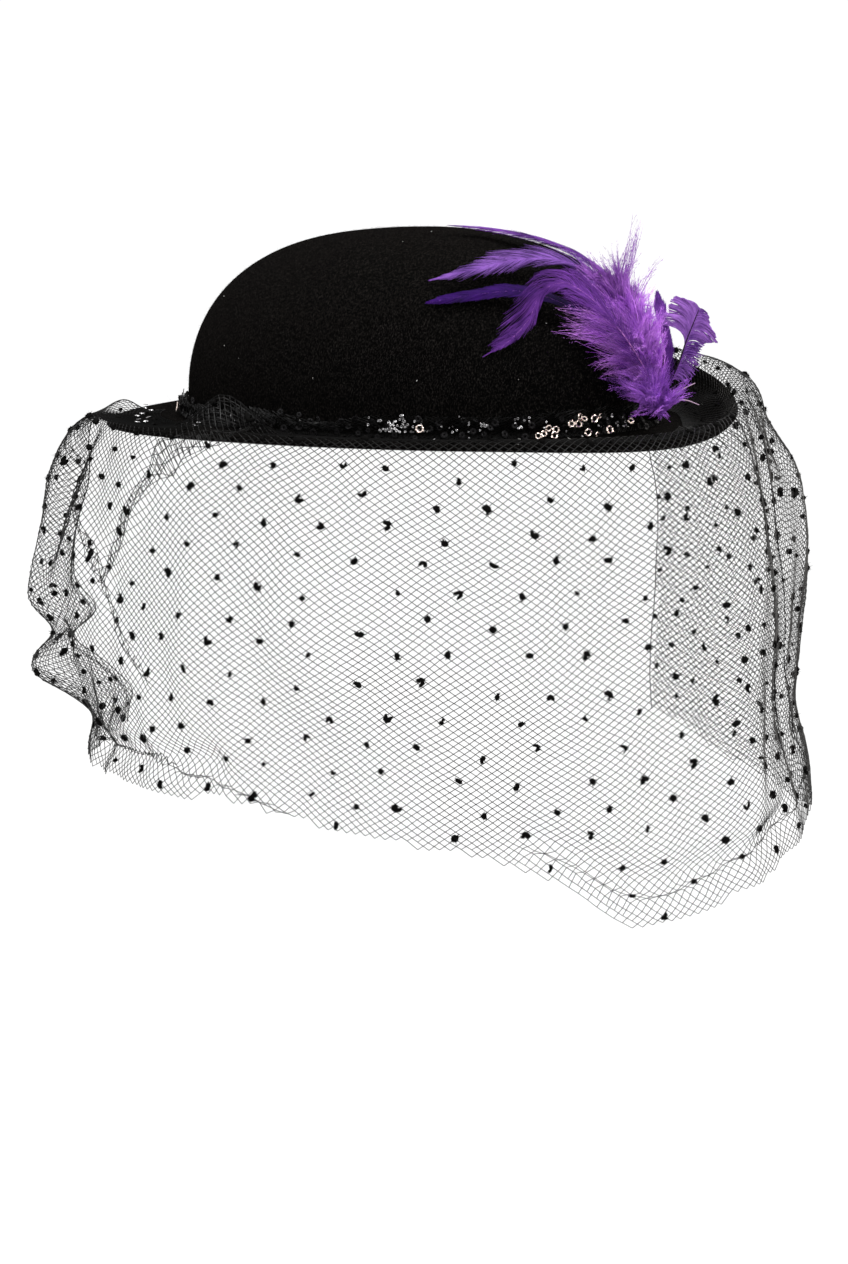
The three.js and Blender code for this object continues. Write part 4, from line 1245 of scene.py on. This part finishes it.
# Each feather by the solid that it stands for. The quill's first point is its seat on the
# binding, given by `foot` as a place beside its middle and out from it.
FEATHERS = {
    "hackle_curled": dict(
        name="curled_hackle", look=DEEP_PURPLE, slot="purple_feather", shaft_look=PINK_QUILL,
        foot=(-3, 1.5), facing=(-0.6, -0.7, 0.35),
        quill=[
            (-7, -110, 22), (-19, -109, 35), (-25, -104, 44), (-28, -99, 49.5), (-32, -92, 53.5),
            (-36, -86, 50.5), (-39, -82.5, 41), (-46, -78, 33), (-51, -73, 29),
        ],
        rows=table(
            "along left right", (0.12, 3, 3), (0.3, 6, 5), (0.46, 5, 5), (0.58, 3.2, 5.4),
            (0.7, 2.8, 5.6), (0.8, 2, 4.4), (0.9, 0.9, 2), (0.96, 0.3, 0.5),
        ),
        density=3.4, angle=24, lean_in=6, seed=3, shaft=0.24, barb=0.26, split=0.8, loose=0.5,
        fluff_to=0.4, fluff=1.9, follow=0.8,
    ),
    "hackle_broad": dict(
        name="broad_hackle", look=MID_PURPLE, slot="purple_feather",
        foot=(-1.2, -1.3), facing=None,
        quill=[
            (0, -99, 30), (-7, -92, 47), (-9, -82, 58), (-17, -74, 61), (-28, -67, 60.5),
            (-40, -59, 57.5), (-51, -49, 54),
        ],
        rows=table(
            "along left right", (0.25, 2, 2), (0.45, 4, 6), (0.6, 4.4, 6.4), (0.74, 3.6, 4.2),
            (0.87, 2, 2.2), (0.97, 0.5, 0.5),
        ),
        density=5, angle=30, lean_in=12, seed=5, shaft=0.26, barb=0.22, split=0.75, loose=0.3,
        fluff_to=0.4, cup=0.3, ragged=0.1,
    ),
    "hackle_violet": dict(
        name="violet_hackle", look=VIOLET, slot="violet_feather",
        foot=(-3.6, -0.7), facing=None,
        quill=[(-6, -95, 31), (-18, -86, 44), (-31, -75, 50), (-42, -65, 49.5), (-55, -51, 46.5)],
        rows=table(
            "along left right", (0.3, 1.6, 1.6), (0.6, 3.2, 3.4), (0.85, 2, 2.6), (0.96, 0.8, 1),
        ),
        density=6, angle=26, lean_in=10, seed=7, shaft=0.22, barb=0.28, cup=0.25,
    ),
    "hackle_top": dict(
        name="top_hackle", look=DEEP_PURPLE, slot="purple_feather",
        foot=(1.2, -1.3), facing=None,
        quill=[
            (11, -91, 44), (9, -75, 59), (3, -63, 65.5), (-4, -53, 69), (-9, -42, 71),
            (-17, -30, 72.3),
        ],
        rows=table(
            "along left right", (0.3, 2.4, 2), (0.45, 4.4, 3), (0.6, 3.4, 4), (0.8, 2.2, 3.6),
            (0.95, 0.8, 1.2),
        ),
        density=9, angle=26, lean_in=12, seed=9, shaft=0.24, barb=0.25, split=0.4, loose=0.25,
        cup=0.3,
    ),
    "spike_feather": dict(
        name="dark_spike", look=DEEP_PURPLE, slot="violet_feather",
        foot=(3.6, -1.3), facing=(-0.7, -0.7, 0.1),
        quill=[(15, -104, 24), (14, -103, 36), (15, -99, 49)],
        rows=table("along left right", (0.3, 1.8, 1.8), (0.7, 2.4, 2.2)),
        density=6, angle=24, lean_in=10, seed=11, shaft=0.3, fluff_to=0.3,
    ),
}
FAN = {
    "foot": (3.2, 1.1),
    "quill": [(15, -108, 23), (18, -110, 33), (22, -112, 43)],
    "facing": (-0.72, -0.66, 0.2),
    "barbs": 820,
}
# The fan's cut edge: share of the quill each barb leaves from, and where it ends, beside the
# quill's tip and above it.
FAN_EDGE = table(
    "share aside above",
    (0.64, -13.2, -4.6), (0.70, -12.4, -2.8), (0.76, -10.8, -0.4), (0.82, -9.2, 3.2),
    (0.86, -8.4, 5.0), (0.90, -5.7, 3.9), (0.95, -3.2, 2.9), (1.0, 0.4, 0.8), (0.97, 2.9, -1.1),
    (0.92, 3.8, -4.3), (0.85, 4.6, -7.4), (0.78, 6.6, -11.5), (0.66, 2.6, -11.6),
    (0.58, 0.4, -13.4), (0.50, -0.8, -16.6), (0.42, -2.0, -19.8), (0.34, -3.8, -23.0),
    (0.26, -5.8, -25.6),
)
FAN_ROWS = 120
STRAND_POINTS = 7          # points along a barb of the fan or a strand of down


def bent_strands(root, middle, end):
    """Curves from roots to ends that a middle point pulls, and where each point is on them."""
    t = np.linspace(0, 1, STRAND_POINTS)[None, :, None]
    paths = root[:, None] * (1 - t) ** 2 + 2 * middle[:, None] * t * (1 - t) + end[:, None] * t**2
    return paths, t


def fan():
    """A feather whose end is cut off ragged, so its barbs spread like a fan."""
    local = np.random.default_rng(17)
    start = binding_place(*FAN["foot"], QUILL_SEAT)
    line, along, _ = curve_through([start, *FAN["quill"]], FAN_ROWS)
    normal, _ = facing_frames(line, along, FAN["facing"])
    tip, facing = line[-1], normal[-1]
    aside = unit(np.cross(np.array([0.0, 0.0, 1.0]), facing))
    upward = np.cross(facing, aside)
    share = np.linspace(0, 1, FAN_ROWS)
    shaft = tubes(line[None], (0.42 * (1 - 0.6 * share))[None], QUILL_SIDES)
    new_piece("trimmed_fan_quill", *shaft, DARK_QUILL, "purple_feather")

    steps = np.hypot(np.diff(FAN_EDGE["aside"]), np.diff(FAN_EDGE["above"]))
    run = np.concatenate([[0], np.cumsum(steps)])
    count = FAN["barbs"]
    at = np.sort(local.uniform(0, run[-1], count))
    marks = np.arange(0, run[-1] + 2, 0.9)
    clump = np.interp(at, marks, local.normal(0, 1, len(marks)))
    s = np.clip(np.interp(at, run, FAN_EDGE["share"]) + local.normal(0, 0.02, count), 0.05, 1)
    x, y = (np.interp(at, run, FAN_EDGE[column])[:, None] for column in ("aside", "above"))
    root, heading = along_line(share, line, s), along_line(share, along, s)
    end = tip + x * aside + y * upward
    loose = smooth((0.62 - s) / 0.2)
    reach = (
        1 + 0.045 * clump + local.normal(0, 0.02, count)
        + loose * local.normal(0.05, 0.22, count)
    )
    end = root + (end - root) * reach[:, None]
    gap = np.linalg.norm(end - root, axis=1, keepdims=True)
    off = 0.05 * clump + 0.16 * loose * local.normal(0, 1, count)
    end = end + facing * off[:, None] * gap
    middle = root + heading * gap * 0.5 + 0.12 * (end - root)
    paths, t = bent_strands(root, middle, end)
    direction = unit(np.gradient(paths, axis=1))
    across = unit(np.cross(direction, facing + 0.3 * local.normal(size=(count, 1, 3))))
    widths = 0.4 * (1 - 0.35 * t[..., 0]) * np.ones((count, 1)) * (1 - 0.5 * loose[:, None])
    uv = streak_map((at / run[-1])[:, None], 0.02 + 0.9 * t[..., 0])
    blade = new_piece(
        "trimmed_fan", *ribbons(paths, widths, across), PURPLE, "purple_feather", uv=uv,
    )
    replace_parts(blade, "fan_feather")


BARBULES = 18              # fine hairs on each strand of down


def down_tuft(name, core, locks, look, *, clumps, spread, wild, strands, seed, width):
    """Fluffy down: locks of clumps, each a sheaf of fine strands that draw together at the tip."""
    local = np.random.default_rng(seed)
    line, _, _ = curve_through(core, 60)
    share = np.linspace(0, 1, 60)
    roots, ends, bends = [], [], []
    for at, x, y, z, fullness in locks:
        tip = np.array([x, y, z], float)
        n = max(2, int(clumps * fullness))
        s = np.clip(at - 0.05 + local.normal(0, 0.08, n), 0, 1)
        root = along_line(share, line, s)
        gap = np.linalg.norm(tip - root, axis=1, keepdims=True)
        away = unit(tip - root)
        roots.append(root + local.normal(size=(n, 3)) * 0.8)
        reach = gap * local.uniform(0.5, 1.1, (n, 1))
        ends.append(root + away * reach + local.normal(size=(n, 3)) * spread * gap)
        bends.append(local.normal(size=(n, 3)) * wild * gap + np.array([0, 0, 0.1]) * gap)
    root, end, bend = (np.repeat(np.concatenate(v), strands, axis=0) for v in (roots, ends, bends))
    n = len(root)
    dye = np.repeat(local.uniform(0, 1, n // strands), strands)[:, None]
    gap = np.linalg.norm(end - root, axis=1, keepdims=True)
    middle = 0.5 * (root + end) + bend + local.normal(size=(n, 3)) * 0.075 * gap
    end = root + (end - root) * local.uniform(0.72, 1.06, (n, 1))
    end = end + local.normal(size=(n, 3)) * 0.035 * gap
    paths, t = bent_strands(root, middle, end)
    waves = np.sin(t * local.uniform(5, 12, (n, 1, 1)) + local.uniform(0, 6, (n, 1, 1)))
    paths = paths + 0.16 * waves * unit(local.normal(size=(n, 1, 3))) * t
    direction = unit(np.gradient(paths, axis=1))
    across = unit(np.cross(direction, local.normal(size=(n, 1, 3))))
    widths = np.broadcast_to(width * (1 - 0.85 * t[..., 0]), (n, STRAND_POINTS))
    strips = ribbons(paths, widths, across)
    uv_strips = streak_map(dye, 0.02 + 0.96 * t[..., 0])
    # Barbules: short hairs that lean along each strand.
    where = local.uniform(0.05, 0.97, (n, BARBULES))
    i = np.minimum((where * (STRAND_POINTS - 1)).astype(int), STRAND_POINTS - 2)
    f = (where * (STRAND_POINTS - 1) - i)[..., None]
    p0 = np.take_along_axis(paths, i[..., None], axis=1)
    p1 = np.take_along_axis(paths, i[..., None] + 1, axis=1)
    foot = p0 * (1 - f) + p1 * f
    ahead = unit(p1 - p0)
    side = unit(np.cross(ahead, local.normal(size=ahead.shape)))
    reach = local.uniform(0.7, 1.7, (n, BARBULES, 1)) * (1.15 - 0.5 * where[..., None])
    tips = foot + (0.85 * ahead + 0.5 * side) * reach
    flat = unit(np.cross(tips - foot, local.normal(size=foot.shape)))
    hairs = spikes(foot, tips, np.full((n, BARBULES), 0.14), flat)
    uv_hairs = np.stack(np.broadcast_arrays(dye, 0.02 + 0.96 * where), axis=-1).reshape(-1, 2)
    points, corners, sizes = joined(strips, hairs)
    uv = np.concatenate([uv_strips, np.repeat(uv_hairs, 3, axis=0)])
    return new_piece(name, points, corners, look, "purple_feather", uv=uv, sizes=sizes)


# Locks of down: share of the core where the lock starts, its tip, and its fullness.
PLUME_CORE = [(10, -104.5, 12.5), (0, -107, 23), (-6, -105.5, 34), (-9, -101, 45), (-13, -94, 54)]
PLUME_LOCKS = [
    (0.28, -22, -102, 23, 0.4), (0.34, -26, -98, 28, 0.6), (0.42, -29, -95, 34, 0.8),
    (0.50, -31, -92, 41, 0.8), (0.58, -30, -92, 47, 0.8), (0.40, -19, -107, 30, 1.0),
    (0.30, -14, -108, 22, 1.1), (0.50, -15, -110, 36, 1.2), (0.36, -8, -112, 28, 1.2),
    (0.40, 1, -110, 35, 1.2), (0.45, 1, -108.5, 42, 1.2), (0.60, 2, -105.5, 48, 1.3),
    (0.62, -4, -104, 50, 1.4), (0.55, -8, -110, 45, 1.4), (0.66, -15, -105, 50, 1.3),
    (0.35, -1, -112, 34, 1.2), (0.25, -6, -113, 28, 1.1), (0.20, 3, -110, 28, 1.0),
    (0.48, -2, -111, 42, 1.3), (0.62, -22, -101, 49, 1.0), (0.45, -23, -102, 40, 1.0),
]
# Locks at the top of the plume, with the same columns; they take the darker copy of the down, which
# is painted shade.
PLUME_TIPS = [
    (0.70, 1, -99, 54, 1.3), (0.75, -3, -94, 58, 1.3), (0.85, -3, -99, 68, 0.4),
    (0.80, -7, -97, 58, 1.3), (0.90, -12, -94, 60, 1.1), (0.90, -18, -91, 60, 0.9),
    (0.95, -22, -91, 56, 0.8), (0.85, 2, -99, 75, 0.1), (0.80, -4, -98, 71, 0.2),
    (0.85, -13, -91, 68, 0.1), (0.70, 5, -103, 62, 0.2),
]
BASE_CORE = [(8, -107, 8), (2, -107.9, 10), (-4, -109.2, 13)]
BASE_LOCKS = [
    (0.9, -20, -108, 24, 1.0), (0.8, -20, -108, 18, 1.1), (0.6, -16, -111, 13, 1.0),
    (0.9, -22, -106, 21, 0.8), (0.4, -9, -114, 10, 0.9), (0.3, -3, -116, 10, 0.7),
    (0.2, 10, -112, 14, 0.8), (0.2, 14, -112, 16, 0.8), (0.3, 2, -115, 18, 0.9),
    (0.6, -9, -114, 21, 1.2), (0.35, 0, -114, 23, 0.9), (0.1, 15, -113, 20, 0.7),
    (0.8, -14, -112, 26, 1.1), (0.5, -3, -115, 25, 1.0), (0.6, -12, -113, 17, 1.1),
]


def feathers():
    """The whole spray, from the hackles behind to the down at its foot."""
    for node, feather in FEATHERS.items():
        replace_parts(vane(**feather), node)
    fan()
    full = dict(clumps=12, spread=0.13, wild=0.06, strands=10)
    plume = down_tuft("marabou", PLUME_CORE, PLUME_LOCKS, PALE_DOWN, **full, seed=23, width=0.28)
    # The top locks are drawn in the darker copy of the down, painted shade against the top light.
    down_tuft("marabou_tips", PLUME_CORE, PLUME_TIPS, DOWN_TIPS_PAINTED_SHADE, **full, seed=31, width=0.26)
    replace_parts(plume, "marabou_plume")
    base = down_tuft(
        "down_at_foot", BASE_CORE, BASE_LOCKS, PURPLE_DOWN, clumps=9, spread=0.14, wild=0.08,
        strands=9, seed=29, width=0.22,
    )
    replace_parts(base, "base_down")


def bare_quills():
    """Two stripped quill ends that stand out of the knot."""
    ends = [
        [(15, -106, 12), (19, -108, 15), (24, -110, 17)],
        [(15, -106, 11), (21, -108, 11), (27, -110, 9)],
    ]
    paths = np.array([curve_through(end, 14)[0] for end in ends])
    radii = np.tile(0.3 * (1 - 0.5 * np.linspace(0, 1, 14)), (2, 1))
    new_piece("bare_quill_ends", *tubes(paths, radii, QUILL_SIDES), PALE_QUILL, "purple_feather")


def thread_knot():
    """Close turns of thread wound over the quills' feet."""
    turns, steps = 14, 20
    t = np.linspace(0, 1, turns * steps + 1)
    side = (t - 0.5) * BINDING["length"]
    radius = (BINDING["radius"] - 0.3) * np.sqrt(1 - 0.9 * (2 * t - 1) ** 4) + 0.15 * np.sin(t * 60)
    angle = 2 * np.pi * turns * t
    path = np.stack([
        binding_place(s, r * math.cos(a), BINDING["up"] + r * math.sin(a))
        for s, r, a in zip(side, radius, angle)
    ])
    thread = tubes(path[None], np.full((1, len(path)), 0.45), 6)
    knot = new_piece("thread_knot", *thread, CHENILLE_FINISH, "thread")
    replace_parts(knot, "quill_binding")


# ---------------------------------------------------------------- stage, lights and camera

# The camera's bearing from the front and its height, in degrees, its distance in metres, its
# focal length in the same unit as the frame's height below, and how far it looks off the
# middle of the hat.
VIEW = {
    "azimuth": -50.0, "elevation": 5.6, "distance": 0.8, "focal": 2071.2, "yaw": 0.205,
    "pitch": 5.943,
}
FRAME_HEIGHT = 1264
SENSOR = 36.0


def camera():
    """The camera at the fitted angle."""
    az, el = math.radians(VIEW["azimuth"]), math.radians(VIEW["elevation"])
    towards = (math.sin(az) * math.cos(el), -math.cos(az) * math.cos(el), math.sin(el))
    eye = bpy.data.cameras.new("studio_camera")
    eye.sensor_fit = "VERTICAL"
    eye.sensor_height = SENSOR
    eye.lens = VIEW["focal"] * SENSOR / FRAME_HEIGHT
    eye.clip_start = 0.05
    eye.clip_end = 40
    holder = bpy.data.objects.new("studio_camera", eye)
    bpy.context.scene.collection.objects.link(holder)
    holder.location = VIEW["distance"] * Vector(towards)
    tilt = math.radians(90 - VIEW["elevation"] - VIEW["pitch"])
    holder.rotation_euler = (tilt, 0, az - math.radians(VIEW["yaw"]))
    bpy.context.scene.camera = holder


def floor():
    """A pale floor that runs on to the horizon."""
    turn = 2 * np.pi * np.arange(64) / 64
    points = np.stack([60 * np.cos(turn), 60 * np.sin(turn), np.full(64, -1.5)], axis=1)
    mesh = bpy.data.meshes.new("pale_floor")
    mesh.from_pydata(points.tolist(), [], [tuple(range(64))])
    material, _, _ = finish(
        "pale floor", Base_Color=(0.97, 0.97, 0.97, 1), Roughness=1.0, Specular_IOR_Level=0.0,
    )
    mesh.materials.append(material)
    ground = bpy.data.objects.new("pale_floor", mesh)
    bpy.context.scene.collection.objects.link(ground)


def light(name, place, size, power, colour=(1, 1, 1)):
    """A soft light that is aimed at the middle of the hat."""
    lamp = bpy.data.lights.new(name, "AREA")
    lamp.shape = "RECTANGLE"
    lamp.size, lamp.size_y = size
    lamp.energy = power
    lamp.color = colour
    holder = bpy.data.objects.new(name, lamp)
    bpy.context.scene.collection.objects.link(holder)
    holder.location = place
    holder.rotation_euler = (-Vector(place)).to_track_quat("-Z", "Y").to_euler()


def studio():
    """Soft light from all round and three lamps."""
    world = bpy.data.worlds.new("studio")
    bpy.context.scene.world = world
    world.use_nodes = True
    sky = world.node_tree.nodes["Background"]
    sky.inputs["Color"].default_value = (1, 1, 1, 1)
    sky.inputs["Strength"].default_value = 1.04
    light("key", (-0.9, -1.6, 1.4), (0.9, 0.9), 20)
    light("side", (1.6, -0.9, 0.8), (0.9, 1.2), 22, (1, 0.95, 0.89))
    light("top", (0.0, -0.2, 2.2), (0.8, 0.8), 54)
    bpy.context.scene.view_settings.view_transform = "Standard"


camera()
floor()
studio()
felt_nap(felt_hat())
veil()
edge_cords()
chenille_dots()
net_ruffle()
sequin_braid()
brim_sequins()
feathers()
bare_quills()
thread_knot()
